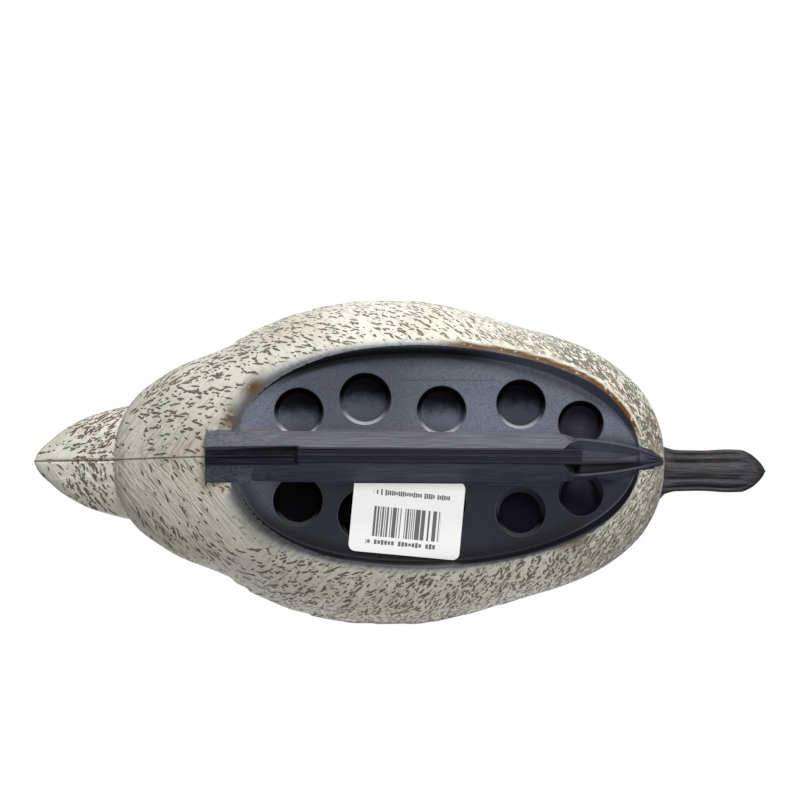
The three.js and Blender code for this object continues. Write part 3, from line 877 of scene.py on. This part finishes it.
def plumage_material():
    material, nodes = new_material("painted plumage")
    place = nodes.place()
    x, y, z = nodes.parts(place)
    side = abs(y)
    painted, rim, clear, tail, combing = map(nodes.attribute, ("painted", "rim", "clear", "tail", "combing"))

    # Cream plastic of the underside, a little worn and stained
    cloud = nodes.noise(place, 0.028, 4, 0.6)
    fine = nodes.noise(place, 0.9, 4, 0.65)
    cream = nodes.mix(cloud.fade(0.35, 0.68), (236, 235, 222), (222, 218, 200))
    cream = cream.mix(fine.fade(0.50, 0.72) * 0.35, (176, 170, 152))

    # Hair-fine carving: it slants in towards the keel in front, and outwards on the rump
    front = x.fade(-76, -56)
    front_comb = nodes.noise(slanted(nodes, x, side, z, -40, (0.13, 0.66, 0.22)), 1, 3, 0.6, 0.5)
    rear_comb = nodes.noise(slanted(nodes, x, side, z, 48, (0.06, 0.72, 0.22)), 1, 2.5, 0.6, 0.9)
    comb = front_comb * front + rear_comb * (1 - front)

    # Dark dashes, close wavy marks on the breast, and soft dark overspray at the rim, which covers both
    wavy = nodes.noise(slanted(nodes, x, side, z, -44, (0.24, 0.52, 0.20)), 1, 2.5, 0.55, 0.8)
    wavy = wavy.fade(0.53, 0.46) * nodes.attribute("wavy")
    dash = nodes.math("MAXIMUM", painted_dashes(nodes, place) * (1 - wavy * 0.3), wavy)
    dash = dash * (0.45 + nodes.noise(place, 1.6, 2).fade(0.28, 0.5) * 0.55)
    dark = nodes.mix(nodes.noise(place, 0.12, 2).fade(0.35, 0.65), (74, 69, 56), (98, 84, 60))
    dark = dark.mix(tail * 0.8, (94, 66, 38))
    thin = rim + (nodes.noise(place, 0.45) - 0.5) * 1.6
    spray = (thin / nodes.attribute("spray")).fade(1, -0.2) * 0.95
    dash = dash * clear * spray.fade(0.45, 0.05)
    brown = nodes.mix(tail, (128, 120, 100), (116, 84, 50))
    under = cream.mix(comb.fade(0.50, 0.38) * combing * clear * (0.6 + tail * 0.4), brown)
    under = under.mix(dash * 0.9, dark)

    # Painted feathers of the upper side, with fine barbs along them
    paint = nodes.attribute("paint", "Color")
    barbs = nodes.noise(nodes.attribute("barb", "Vector"), 1, 2, 0.6)
    upper = paint.mix(barbs.fade(0.35, 0.75), paint.mix(0.35, (38, 30, 24)))
    upper = upper.mix(fine.fade(0.55, 0.7) * 0.2, (190, 170, 138))
    upper = upper.mix(dash * 0.55, (58, 46, 36))
    hue = under.mix((painted + (cloud - 0.5) * 0.5).fade(0.25, 0.75), upper)

    # The overspray's colour, painted paler on the right side where the light falls (painted light), brown
    # wash on top of it, and the mould seam
    deep = nodes.mix(y.fade(*LIT_SIDE_EDGE), (62, 66, 76), (78, 83, 96))
    hue = hue.mix(spray, nodes.mix(spray.fade(0.35, 0.85), (142, 149, 158), deep))
    wash = nodes.attribute("wash") * nodes.noise(place, 0.35).fade(0.22, 0.42)
    hue = hue.mix(wash, nodes.mix(fine, (100, 64, 24), (76, 56, 20)))
    seam = nodes.attribute("seam").fade(0.55, 0.15)
    hue = hue.mix(seam * 0.75, (88, 80, 66))

    relief = fine * 0.12 - dash * 0.6 - seam * 0.4 + comb * combing * 1.3 + barbs * painted * 0.25
    nodes.surface(hue, 0.5 + fine * 0.16 - painted * 0.04, relief, 0.7, 0.4)
    return material


def foot_gap(nodes, x, y):
    """Distance outside the foot of the well's wall; negative on the panel."""
    from_centre = x - WELL_CENTRE
    front = from_centre > 0
    back_reach = WELL_BACK - WELL_INSET
    reach = back_reach + front * (WELL_FRONT - WELL_FRONT_INSET - back_reach)
    power = WELL_BACK_POWER + front * (WELL_FRONT_POWER - WELL_BACK_POWER)
    half = WELL_HALF_WIDTH - WELL_INSET
    u = nodes.math("MAXIMUM", abs(from_centre) / reach, 0.02)
    v = nodes.math("MAXIMUM", abs(y) / half, 0.02)
    along, across = u ** power, v ** power
    slope_x, slope_y = along / (u * reach), across / (v * half)
    slope = nodes.math("SQRT", slope_x * slope_x + slope_y * slope_y)
    return (along + across - 1) / (power * slope)


def recess_shades(nodes, place, lit_side):
    """Painted light and shade inside the round recesses: a painted shadow over the floor on the right side of
    each, darker floors in the front recesses, nearly black floors in the recesses on the left side of the
    bird, painted shade on the walls that face away from the light, a painted lit wall facing it, and a
    painted highlight round each mouth.

    Gives how far a point is inside one, how far it is on the painted lit wall, and the layers of colour.
    """
    x, y, z = nodes.parts(place)
    _, normal_y, normal_z = nodes.parts(nodes.normal())
    shaded_side = 1 - lit_side
    inside = z.fade(PANEL_Z + 0.3, PANEL_Z + 1.3) * x.fade(-60, -58.5)
    level = nodes.vector("MULTIPLY", place, (1, 1, 0))
    across = 0
    for centre_x, centre_y, radius in RECESSES:
        for middle_y in (-centre_y, centre_y):
            off = nodes.vector("LENGTH", nodes.vector("SUBTRACT", level, (centre_x, middle_y, 0)))
            across = (off < radius + 1) * (y - middle_y) * (1 / radius) + across
    soft = across + (nodes.noise(place, 0.25, 2) - 0.5) * 0.5
    front_recesses = inside * x.fade(34, 40)
    steep = inside * abs(normal_z).fade(0.75, 0.5)
    lit = steep * normal_y.fade(-0.3, -0.85) * (0.12 + lit_side * 0.75) * x.fade(76, 62)
    mouth = abs(z - PANEL_Z).fade(0.55, 0.25) * abs(normal_z).fade(0.98, 0.92)
    # Painted shadow, painted shade and painted highlights, layer by layer
    return inside, lit, [
        (front_recesses * 0.7, (40, 41, 50)),
        (inside * soft.fade(0.35, -0.45) * 0.95, (5, 5, 8)),
        (inside * shaded_side, nodes.mix(x.fade(15, 50), (3, 3, 5), (17, 14, 25))),
        (inside * x.fade(62, 68) * (0.2 + lit_side * 0.5), (48, 43, 56)),
        (lit, (205, 208, 213)),
        (
            steep * normal_y.fade(-0.3, 0.3) * 0.97,
            nodes.mix(front_recesses * shaded_side * 0.8, (4, 4, 6), (74, 76, 87)),
        ),
        (mouth * 0.35, (128, 132, 142)),
    ]


def wall_shades(nodes, place, lit_side):
    """The black painted shadow line along the foot of the well's wall, and the wall itself, painted darker
    towards the panel as shade and paler on the right side, where the light falls, as painted light.
    """
    x, y, z = nodes.parts(place)
    off_keel = abs(y).fade(KEEL_HALF_WIDTH + 0.5, KEEL_HALF_WIDTH + 1.1)
    dark_start = lit_side * 16 - 84
    dark_end = 92 - lit_side * 38
    middle = (x - dark_start).fade(0, 24) * (x - dark_end).fade(0, -32)
    foot = foot_gap(nodes, x, y).fade(lit_side * 4.9 - 8.5, -1.2) * z.fade(8, 11) * off_keel
    wall = z.fade(PANEL_Z - 0.1, PANEL_Z - 0.8) * off_keel * (0.75 + middle * 0.2)
    # Painted shade: the wall darkens towards the panel, and it is painted paler on the lit right side
    hue = nodes.mix(z.fade(2.2, 7), (88, 92, 103), (14, 14, 20))
    hue = hue.mix(lit_side * x.fade(20, 60) * 0.8, (80, 85, 98))
    return [(foot * middle * 0.93, (7, 7, 11)), (wall, hue)]


def keel_shades(nodes, place, streak):
    """Streaky flanks, painted lighter on the right side where the light falls and darker on the shaded left
    side, a darker strip, and the channel, the prow and the prow's hollow painted dark as shade, with the
    hollow's right half paler: where the keel is, and its layers.
    """
    x, y, z = nodes.parts(place)
    side = abs(y)
    low_or_rear = nodes.math("MAXIMUM", z.fade(PANEL_Z + 0.2, PANEL_Z - 0.3), x.fade(-56, -58))
    on_keel = side.fade(KEEL_HALF_WIDTH + 1, KEEL_HALF_WIDTH + 0.4)
    keel = on_keel * low_or_rear * x.fade(PROW_ALONE + 0.5, PROW_ALONE - 0.5)
    streaky = streak.fade(0.35, 0.7)
    # Painted light and shade: the flank on the right side lighter, the one on the left side darker
    lit_flank = nodes.mix(streaky, (94, 94, 104), (122, 122, 131))
    shaded_flank = nodes.mix(streaky, (66, 68, 80), (88, 90, 102))
    on_strip = side.fade(STRIP_HALF_WIDTH + 0.6, STRIP_HALF_WIDTH + 0.2) * z.fade(3.5, 1.5)
    channel = side.fade(4.6, 3.8) * x.fade(STRIP_BACK + 1, STRIP_BACK) * keel
    prow = x.fade(66, 76) * nodes.attribute("prow")
    # Painted shade on the channel, the prow and its hollow; the hollow's right half is paler as painted light
    return keel, [
        (keel, nodes.mix(y.fade(-1, 1), lit_flank, shaded_flank)),
        (on_strip * 0.95, (34, 34, 45)),
        (channel * 0.9, (26, 26, 38)),
        (prow * 0.85, nodes.mix(streak, (58, 58, 70), (92, 92, 104))),
        (nodes.attribute("hollow") * 0.95, nodes.mix(y.fade(3, -1), (4, 4, 9), (88, 88, 101))),
    ]


def base_material():
    """Dark plastic, painted paler on the right side of the bird, where the light falls, as painted light, and
    paler towards the rear end of the well.
    """
    material, nodes = new_material("dark base plastic")
    place = nodes.place()
    x, y, z = nodes.parts(place)
    cloud = nodes.noise(place, 0.035)
    grain = nodes.noise(place, 1.6, 3, 0.7)
    speck = nodes.noise(place, 2.4, 2, 0.6)
    streak = nodes.noise(nodes.vector("MULTIPLY", place, (0.06, 1.6, 1.6)), 1)

    # Painted light: the panel is paler on the right side, where the light falls, and paler towards the rear
    # end of the well
    lit_side = y.fade(*LIT_SIDE_EDGE)
    paleness = lit_side * (0.52 + x.fade(-20, 35) * 0.36) + x.fade(-44, -66) * 0.36 + 0.04
    pale_hue = nodes.mix(grain.fade(0.35, 0.68), (92, 97, 110), (120, 126, 139))
    inside, lit, recess_layers = recess_shades(nodes, place, lit_side)
    keel, keel_layers = keel_shades(nodes, place, streak)
    specks = speck.fade(0.5, 0.3) * 0.3 * (1 - lit)
    hue = nodes.mix(cloud, (20, 22, 30), (32, 35, 45)).mix(paleness * (0.7 + cloud * 0.6), pale_hue)
    for amount, shade in [
        *recess_layers, *wall_shades(nodes, place, lit_side), *keel_layers, (specks, (30, 31, 40)),
    ]:
        hue = hue.mix(amount, shade)

    # One fine line along the panel
    line = abs(y + 34).fade(0.35, 0.1) * z.fade(PANEL_Z - 1, PANEL_Z - 0.1) * x.fade(-6, 0) * x.fade(42, 36)
    relief = grain * 0.3 + speck * 0.15 + streak * keel * 0.5 + line * 0.5
    nodes.surface(hue, 0.38 + grain * 0.22, relief, 0.5, 0.18 - inside * 0.16)
    return material


def bill_material():
    material, nodes = new_material("bill plastic")
    place = nodes.place()
    y = nodes.parts(place)[1]
    streak = nodes.noise(nodes.vector("MULTIPLY", place, (0.07, 0.9, 0.9)), 1, 4, 0.6)
    mottle = nodes.noise(place, 0.22, 4, 0.6)
    grain = nodes.noise(place, 1.8)
    hue = nodes.mix(streak.fade(0.35, 0.7), (20, 20, 28), (52, 50, 57))
    hue = hue.mix(mottle.fade(0.45, 0.7) * (0.3 + y.fade(2, -4) * 0.4), (70, 56, 48))
    nodes.surface(hue, 0.3 + grain * 0.2, streak * 1.2 + grain * 0.2, 0.5, 0.3)
    return material


def eye_material():
    material, nodes = new_material("glossy eye")
    place = nodes.place()
    speck = nodes.noise(place, 1.1)
    hue = nodes.mix(speck.fade(0.4, 0.65), (18, 12, 10), (46, 30, 20))
    nodes.surface(hue, 0.07 + speck * 0.06, nodes.noise(place, 0.6, 1), 0.15)
    return material


# Print on the label: middle and half height of each row, its start and end, pitch of the marks, share of them
# that is there, seed, and how much the marks differ in height. The first row is the block of bars.
LABEL_ROWS = [
    (3.2, 6.6, -14.5, 14.8, 0.42, 0.52, 11, 0),
    (-9.6, 1.3, -15.5, 18.5, 0.95, 0.8, 31, 0.9),
    (12.2, 1.2, -17, 13.5, 1.5, 0.75, 53, 0.8),
]


def label_material():
    """Plain card with a block of bars between two rows of short marks; none of them says anything."""
    material, nodes = new_material("label card")
    place = nodes.place()
    inputs = {"Vector": nodes.vector("SUBTRACT", place, LABEL_CENTRE), "Angle": -LABEL_TURN}
    u, v, _ = nodes.parts(nodes.value("ShaderNodeVectorRotate", inputs, rotation_type="Z_AXIS"))
    ink = 0
    for middle, half_height, start, end, pitch, share, seed, ragged in LABEL_ROWS:
        at = u / pitch
        chance = nodes.value(
            "ShaderNodeTexWhiteNoise", {"W": nodes.math("FLOOR", at) + seed}, "Value", noise_dimensions="1D",
        )
        filled = abs(nodes.math("FRACT", at) - 0.5) < 0.5 - 0.12 * (ragged > 0)
        tall = abs(v - middle) < half_height - chance * ragged
        ink = nodes.math("MAXIMUM", ink, (chance < share) * tall * filled * (u > start) * (u < end))
    fibre = nodes.noise(place, 0.8, 4, 0.6)
    hue = nodes.mix(fibre, (250, 250, 249), (240, 240, 240)).mix(ink * 0.88, (30, 30, 34))
    nodes.surface(hue, 0.42 + fibre * 0.12, fibre, 0.04)
    return material


# Where the paint goes, point by point

def screen(*levels):
    return np.array(colour(*levels)[:3])


def blend(first, second, amount):
    amount = np.clip(amount, 0, 1)[:, None]
    return first * (1 - amount) + second * amount


def well_gap(x, y, z):
    """Distance outside the sloping wall of the well; negative inside it."""
    rise = np.clip((z - RIM_Z) / (PANEL_Z - RIM_Z), -0.3, 1)
    dx = x - WELL_CENTRE
    reach = np.where(dx < 0, WELL_BACK - WELL_INSET * rise, WELL_FRONT - WELL_FRONT_INSET * rise)
    half = WELL_HALF_WIDTH - WELL_INSET * rise
    power = np.where(dx < 0, WELL_BACK_POWER, WELL_FRONT_POWER)
    u, v = np.abs(dx) / reach, np.abs(y) / half
    value = np.maximum(u ** power + v ** power, 1e-6)
    slope_x = power * u ** (power - 1) / reach
    slope_y = power * v ** (power - 1) / half
    return (value - 1) / np.maximum(np.hypot(slope_x, slope_y), 0.01)


def keel_gap(x, y, z):
    """Distance outside the keel and its prow, where they pass over the hull."""
    in_front = x > PROW_ALONE
    half = np.where(in_front, prow_half_width(x) + 0.6, KEEL_HALF_WIDTH)
    ends = np.maximum(KEEL_BACK - x, x - PROW_TIP)
    above = np.where(in_front, z - prow_bottom(x) - 4, z - 22)
    return np.maximum(np.maximum(np.abs(y) - half, ends), above)


# The slant of the painted dashes along the bird, away from the keel, in degrees: beside the middle line and
# by the outline on its right side, and on its left side
right_turn = curve([
    (-170, 30), (-134, -8), (-100, -6), (-88, -15), (-55, -22), (-38, -22), (-3, -31), (33, -38), (68, -32),
    (86, -30), (104, -45), (116, -50),
])
right_outer_turn = curve([
    (-170, 30), (-134, 25), (-112, 25), (-95, -5), (-80, -15), (-50, -22), (0, -28), (40, -36), (116, -40),
])
left_turn = curve([
    (-170, 60), (-134, 62), (-110, 52), (-95, 44), (-84, 25), (-72, -5), (-55, -21), (-38, -24), (-3, -40),
    (33, -52), (50, -56), (68, -48), (86, -38), (104, -22), (116, -5),
])


def outwardness(x, y):
    """0 on the middle line and 1 at the outline of the body."""
    return np.abs(y) / np.maximum(body_half_width(x), 5)


def stroke_flow(points, normals):
    """The way the painted dashes run, along the surface."""
    x, y, z = points.T
    along = np.array((1.0, 0, 0)) - normals * normals[:, :1]
    along /= np.maximum(np.linalg.norm(along, axis=1), 1e-6)[:, None]
    across = np.cross(normals, along)
    mirror = np.where(y < 0, -1, 1)[:, None]
    outward = np.stack((np.zeros_like(x), -normals[:, 2], normals[:, 1]), axis=1) * mirror
    across *= np.where(np.einsum("ij,ij->i", across, outward) < 0, -1, 1)[:, None]
    outer = ramp(0.66, 0.95, outwardness(x, y))
    right = right_turn(x) * (1 - outer) + right_outer_turn(x) * outer
    upper = ramp(50, 75, z)
    turn = np.radians(np.where(y < 0, right, left_turn(x)) * (1 - upper) - 12 * upper)
    turn = np.arctan2(np.sin(turn), np.cos(turn) * np.clip(np.abs(normals[:, 2]), 0.4, 1))
    return along * np.cos(turn)[:, None] + across * np.sin(turn)[:, None]


# Screen colours of the middle and the edge of each kind of feather
FEATHER_HUES = {
    MANTLE: ((92, 72, 52), (176, 150, 112)),
    SCAPULAR: ((78, 61, 45), (186, 160, 120)),
    WING: ((96, 79, 60), (170, 148, 116)),
    SPECULUM: ((34, 88, 60), (40, 38, 34)),
    PRIMARY: ((70, 60, 50), (120, 106, 88)),
    FLANK: ((104, 84, 60), (206, 188, 154)),
    RUMP_FEATHER: ((92, 74, 54), (172, 148, 112)),
}


def feather_paint(x, side):
    """Painted colour of the body's upper side, feather by feather, and the kind of feather."""
    _, along, across, border, kind, tint = plumage(x, side)
    paint = np.tile(screen(128, 106, 78), (len(x), 1))
    for sort, (centre, edge) in FEATHER_HUES.items():
        here = kind == sort
        dark = screen(*centre) * (0.75 + 0.5 * tint[here])[:, None]
        inner = blend(dark, screen(*edge), ramp(0.62, 0.95, border[here]))
        chevron = ramp(0.16, 0.05, np.abs(border[here] - 0.45)) * (sort in (FLANK, SCAPULAR, MANTLE))
        inner = blend(inner, screen(*edge), 0.45 * chevron)
        if sort == SPECULUM:
            inner = blend(inner, screen(30, 28, 26), ramp(0.86, 0.93, along[here]))
        shaft = np.exp(-(across[here] / 0.09) ** 2)
        paint[here] = blend(inner, screen(40, 32, 26), 0.5 * shaft)
    return paint, kind


def head_paint(x, z):
    """A hen's head: dark crown, dark stripe through the eye, pale brow and throat, and dark nape."""
    paint = np.tile(screen(148, 124, 92), (len(x), 1))
    crown = ramp(136, 141, z + 0.12 * (x - 90))
    paint = blend(paint, screen(72, 56, 42), 0.85 * crown)
    stripe = ramp(3.4, 1.6, np.abs(z - 128 + 0.10 * (x - 107))) * ramp(78, 86, x)
    paint = blend(paint, screen(66, 51, 38), 0.8 * stripe)
    brow = ramp(2.4, 1.0, np.abs(z - 134.2 + 0.06 * (x - 107)))
    paint = blend(paint, screen(190, 170, 136), 0.5 * brow)
    throat = ramp(118, 108, z) * ramp(96, 112, x)
    paint = blend(paint, screen(204, 190, 160), 0.75 * throat)
    nape = ramp(92, 70, x + 0.3 * (120 - z)) * ramp(96, 110, z)
    return blend(paint, screen(96, 77, 56), 0.7 * nape)


def tail_paint(x, y):
    paint = np.tile(screen(106, 87, 64), (len(x), 1))
    paint = blend(paint, screen(190, 168, 132), ramp(0.16, 0.04, tail_fan(x, y) % 1))
    tip = ramp(-158, -167, x - 0.12 * np.abs(y))
    return blend(paint, screen(190, 170, 138), 0.5 * tip)


def upper_side(points, normals):
    """Colour of the upper side and how far it covers the cream, and where head and tail are."""
    x, y, z = points.T
    paint, kind = feather_paint(x, body_side(x, y, z))
    head = ramp(1.12, 1.03, head_reach(x, y, z)) * ramp(84, 94, z)
    paint = blend(paint, head_paint(x, z), head)
    tail = ramp(1.0, 3.0, np.abs(body_reach(points) - 1) * 40) * (x < -100)
    paint = blend(paint, tail_paint(x, y), tail)

    above = z - body_waist(x)
    painted = ramp(3, 16, above)
    painted = np.where(kind == FLANK, np.maximum(painted, 0.9 * ramp(-5, 8, above)), painted)
    painted = np.maximum(painted, head) * (1 - tail)
    painted += tail * (0.25 + 0.75 * ramp(-0.35, 0.25, normals[:, 2]))
    return paint, painted, head, tail


def mark_shares(x, y, z, tail):
    """How close the dashes, the hair-fine carving, the wavy marks and the tail's brown speckles are."""
    right_side = ramp(10, -30, y)
    left_side = 1 - right_side
    outer = ramp(0.5, 0.95, outwardness(x, y))
    rear_left = left_side * ramp(-54, -70, x)

    density = 0.34 + 0.06 * ramp(-40, 10, x) + 0.20 * ramp(20, 80, x)
    density += 0.10 * ramp(10, 40, z) * (1 - rear_left)
    # Painted shade: denser dashes on the left side up towards the waist darken that flank
    density += 0.10 * left_side * ramp(15, 40, z) * (z < 60)
    density += 0.14 * right_side * ramp(-50, -80, x) + 0.16 * left_side * np.exp(-((x - 15) / 40) ** 2)
    density = density * (1 - rear_left) + (0.09 + 0.18 * outer) * rear_left
    density *= 1 - 0.75 * ramp(-116, -121, x) * (1 - tail)
    speckled = tail * np.exp(-((x + 144 - 5 * right_side) / (9 + 5 * right_side)) ** 2)
    density = density * (1 - tail) + (0.08 + 0.10 * right_side) * tail + 0.85 * speckled

    wavy = ramp(58, 84, x) * ramp(60, 40, z) * (0.45 + 0.55 * right_side)
    wavy += 0.5 * ramp(20, 60, x) * right_side
    combing = 0.45 + 0.35 * left_side * (1 - rear_left) + 0.4 * rear_left * ramp(-76, -96, x)
    combing *= (1 - 0.6 * tail) * (1 - ramp(60, 80, z))
    return {"dashing": density, "combing": combing, "wavy": wavy, "tail": speckled}


def rim_gap(x, y, z):
    """Distance from the rim of the well or the keel, which grows fast above the underside."""
    wall = well_gap(x, y, z)
    flat = well_gap(x, y, RIM_Z + (PANEL_Z - RIM_Z) * ramp(74, 112, x))
    return np.minimum(np.where(wall > 0, flat, wall), keel_gap(x, y, z)) + np.clip(3 * (z - 30), 0, 200)


def rim_paint(x, y, z):
    """Width of the overspray, the ochre line with the bare strip beside it, left free of marks as a painted
    highlight along the lip, brown smears, and the prow.
    """
    gap = rim_gap(x, y, z)
    spray = 4.0 + 4.5 * ramp(-40, -72, x) - 2.0 * ramp(10, 50, x)
    spray = np.where(well_gap(x, y, z) < keel_gap(x, y, z), spray, 1.2)
    ochre = ramp(6, 26, x) * ramp(-6, -14, y)
    wash = ramp(1.9, 1.0, np.abs(gap - 1.1)) * ochre
    wash += ramp(5, 1, gap) * ramp(0.85, 1, np.exp(-((x - 72) / 24) ** 2)) * (y > 10) * 0.6
    wash += ramp(8, 2, gap) * np.exp(-((x + 68) / 6) ** 2 - ((y + 31) / 5) ** 2)
    wash += ramp(8, 2, gap) * np.exp(-((x + 79) / 5) ** 2 - ((y + 17.6) / 7) ** 2)
    inner_half = prow_half_width(x) - 0.9
    low = prow_bottom(x)
    return {
        "rim": np.clip(gap, -20, 20),
        "spray": spray,
        # Painted highlight: a bare strip without marks beside the ochre line, along the lip
        "clear": 1 - ochre * ramp(4.0, 3.2, gap),
        "wash": np.clip(wash, 0, 1),
        "hollow": (x > HOLLOW_BACK) & (x < HOLLOW_FRONT + 0.5) & (np.abs(y) < inner_half) & (z > low + 0.25),
        "prow": (x > 62) & (np.abs(y) < inner_half + 2.2) & (z > low - 1),
    }


def store(mesh, name, values):
    kind, key = ("FLOAT", "value") if values.ndim == 1 else ("FLOAT_VECTOR", "vector")
    mesh.attributes.new(name, kind, "POINT").data.foreach_set(key, values.astype(float).ravel())


def paint_decoy(mesh):
    """Stores what the materials read at each point."""
    points = array_of(mesh.vertices, "co") / MM
    normals = array_of(mesh.vertices, "normal")
    x, y, z = points.T
    paint, painted, head, tail = upper_side(points, normals)
    barb = np.stack((x * 0.16, body_side(x, y, z) * 1.5, z * 0.05), axis=1)
    barb = np.where((head > 0.5)[:, None], np.stack((x * 0.22, y * 0.6, z * 1.1), axis=1), barb)
    over_seam = ((x > KEEL_BACK) & (z < 60)) | (z > 96)
    attributes = {name: np.clip(share, 0, 1) for name, share in mark_shares(x, y, z, tail).items()}
    attributes |= rim_paint(x, y, z)
    attributes |= {
        "paint": paint, "painted": np.clip(painted, 0, 1), "seam": np.abs(y) + 4 * over_seam,
        "flow": stroke_flow(points, normals), "barb": barb,
    }
    for name, values in attributes.items():
        store(mesh, name, values)


def assign_materials(mesh):
    """Plumage all over, but dark plastic in the well and on the keel, and their own on bill and eyes."""
    x, y, z = array_of(mesh.polygons, "center").T / MM
    slack = 0.15
    in_well = (well_gap(x, y, z) < slack) & ((z < PANEL_Z + 0.2) | ((x > -60) & (x < 90)))
    eye_x, eye_y, eye_z = EYE
    off_eye = np.sqrt((x - eye_x) ** 2 + (np.abs(y) - eye_y) ** 2 + (z - eye_z) ** 2)
    slot = np.zeros(len(x), int)
    slot[(z < 34) & (in_well | (keel_gap(x, y, z) < slack))] = 1
    slot[(x > BILL_ROOT) & (z > 100) & (head_reach(x, y, z) > 1.012)] = 2
    slot[np.abs(off_eye - EYE_RADIUS) < 0.12] = 3
    mesh.materials.clear()
    for material in (plumage_material(), base_material(), bill_material(), eye_material()):
        mesh.materials.append(material)
    mesh.polygons.foreach_set("material_index", slot)
    mesh.set_sharp_from_angle(angle=math.radians(38))


# The decoy

decoy = make_decoy()
paint_decoy(decoy.data)
assign_materials(decoy.data)
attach(decoy, "root")
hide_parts("decoy_body")

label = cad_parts["paper_label"].data
label.materials.clear()
label.materials.append(label_material())


# Floor, lights and camera

def floor_material():
    """Pale from above, and clear from below, where the camera is."""
    material, nodes = new_material("pale floor")
    shader = material.node_tree.nodes["Principled BSDF"]
    hue = nodes.mix(nodes.noise(nodes.place(), 0.01, 3), (236, 236, 234), (228, 228, 227))
    for name, value in {
        "Base Color": hue, "Roughness": 0.8, "Emission Color": (1, 1, 1, 1), "Emission Strength": 0.22,
    }.items():
        nodes.put(shader.inputs[name], value)
    from_below = nodes.value("ShaderNodeNewGeometry", output="Backfacing")
    clear = nodes.value("ShaderNodeBsdfTransparent")
    seen = nodes.value("ShaderNodeMixShader", {0: from_below, 1: shader.outputs[0], 2: clear})
    nodes.put(material.node_tree.nodes["Material Output"].inputs["Surface"], seen)
    return material


corners = [(x * FLOOR_HALF, y * FLOOR_HALF, 0) for x, y in ((-1, -1), (1, -1), (1, 1), (-1, 1))]
floor = mesh_object("floor", corners, [[0, 1, 2, 3]])
floor.data.materials.append(floor_material())
floor.visible_shadow = False
floor.visible_diffuse = False
floor.visible_glossy = False
floor.visible_transmission = False


def area_light(name, place, target, size, power):
    data = bpy.data.lights.new(name, "AREA")
    data.shape = "RECTANGLE"
    data.size, data.size_y = (value * MM for value in size)
    data.energy = power
    light = bpy.data.objects.new(name, data)
    bpy.context.scene.collection.objects.link(light)
    start = Vector(place) * MM
    facing = (Vector(target) * MM - start).to_track_quat("-Z", "Y")
    light.matrix_world = Matrix.Translation(start) @ facing.to_matrix().to_4x4()


area_light("key", (375, -900, -1140), (0, 0, 20), (450, 450), 15)
area_light("side", (200, -1350, -480), (0, 0, 20), (500, 300), 9)
area_light("front", (0, 520, -1350), (0, 0, 20), (900, 500), 5.5)
area_light("breast", (1100, 600, -700), (0, 0, 20), (400, 400), 4)
area_light("top", (200, -900, 1100), (0, 0, 60), (1400, 1400), 11)
area_light("back", (-100, 900, 1100), (0, 0, 60), (1400, 1400), 8)

# The world gives a weak light, and is white where the camera sees it
world = bpy.data.worlds.new("world")
bpy.context.scene.world = world
world.use_nodes = True
sky = Nodes(world.node_tree)
weak = world.node_tree.nodes["Background"]
weak.inputs["Strength"].default_value = 0.12
weak.inputs["Color"].default_value = (1, 1, 1, 1)
white = sky.value("ShaderNodeBackground", {"Color": (1, 1, 1, 1)})
seen = sky.value("ShaderNodeLightPath", output="Is Camera Ray")
both = sky.value("ShaderNodeMixShader", {0: seen, 1: weak.outputs[0], 2: white})
sky.put(world.node_tree.nodes["World Output"].inputs["Surface"], both)
bpy.context.scene.view_settings.view_transform = "Standard"

camera_data = bpy.data.cameras.new("camera")
camera_data.sensor_width = SENSOR
camera_data.lens = SENSOR * (CAMERA_HEIGHT + PICTURE_LEVEL) / PICTURE_WIDTH
camera = bpy.data.objects.new("camera", camera_data)
bpy.context.scene.collection.objects.link(camera)
bpy.context.scene.camera = camera
forward = Vector((0, -math.sin(CAMERA_LEAN), math.cos(CAMERA_LEAN)))
level = Vector((1, 0, 0))
right = math.cos(CAMERA_ROLL) * level + math.sin(CAMERA_ROLL) * level.cross(forward)
up = right.cross(forward)
place = Vector((*CAMERA_AIM, 0)) * MM - forward * (CAMERA_HEIGHT * MM / math.cos(CAMERA_LEAN))
turn = Matrix((right, up, -forward)).transposed()
camera.matrix_world = Matrix.Translation(place) @ turn.to_4x4()
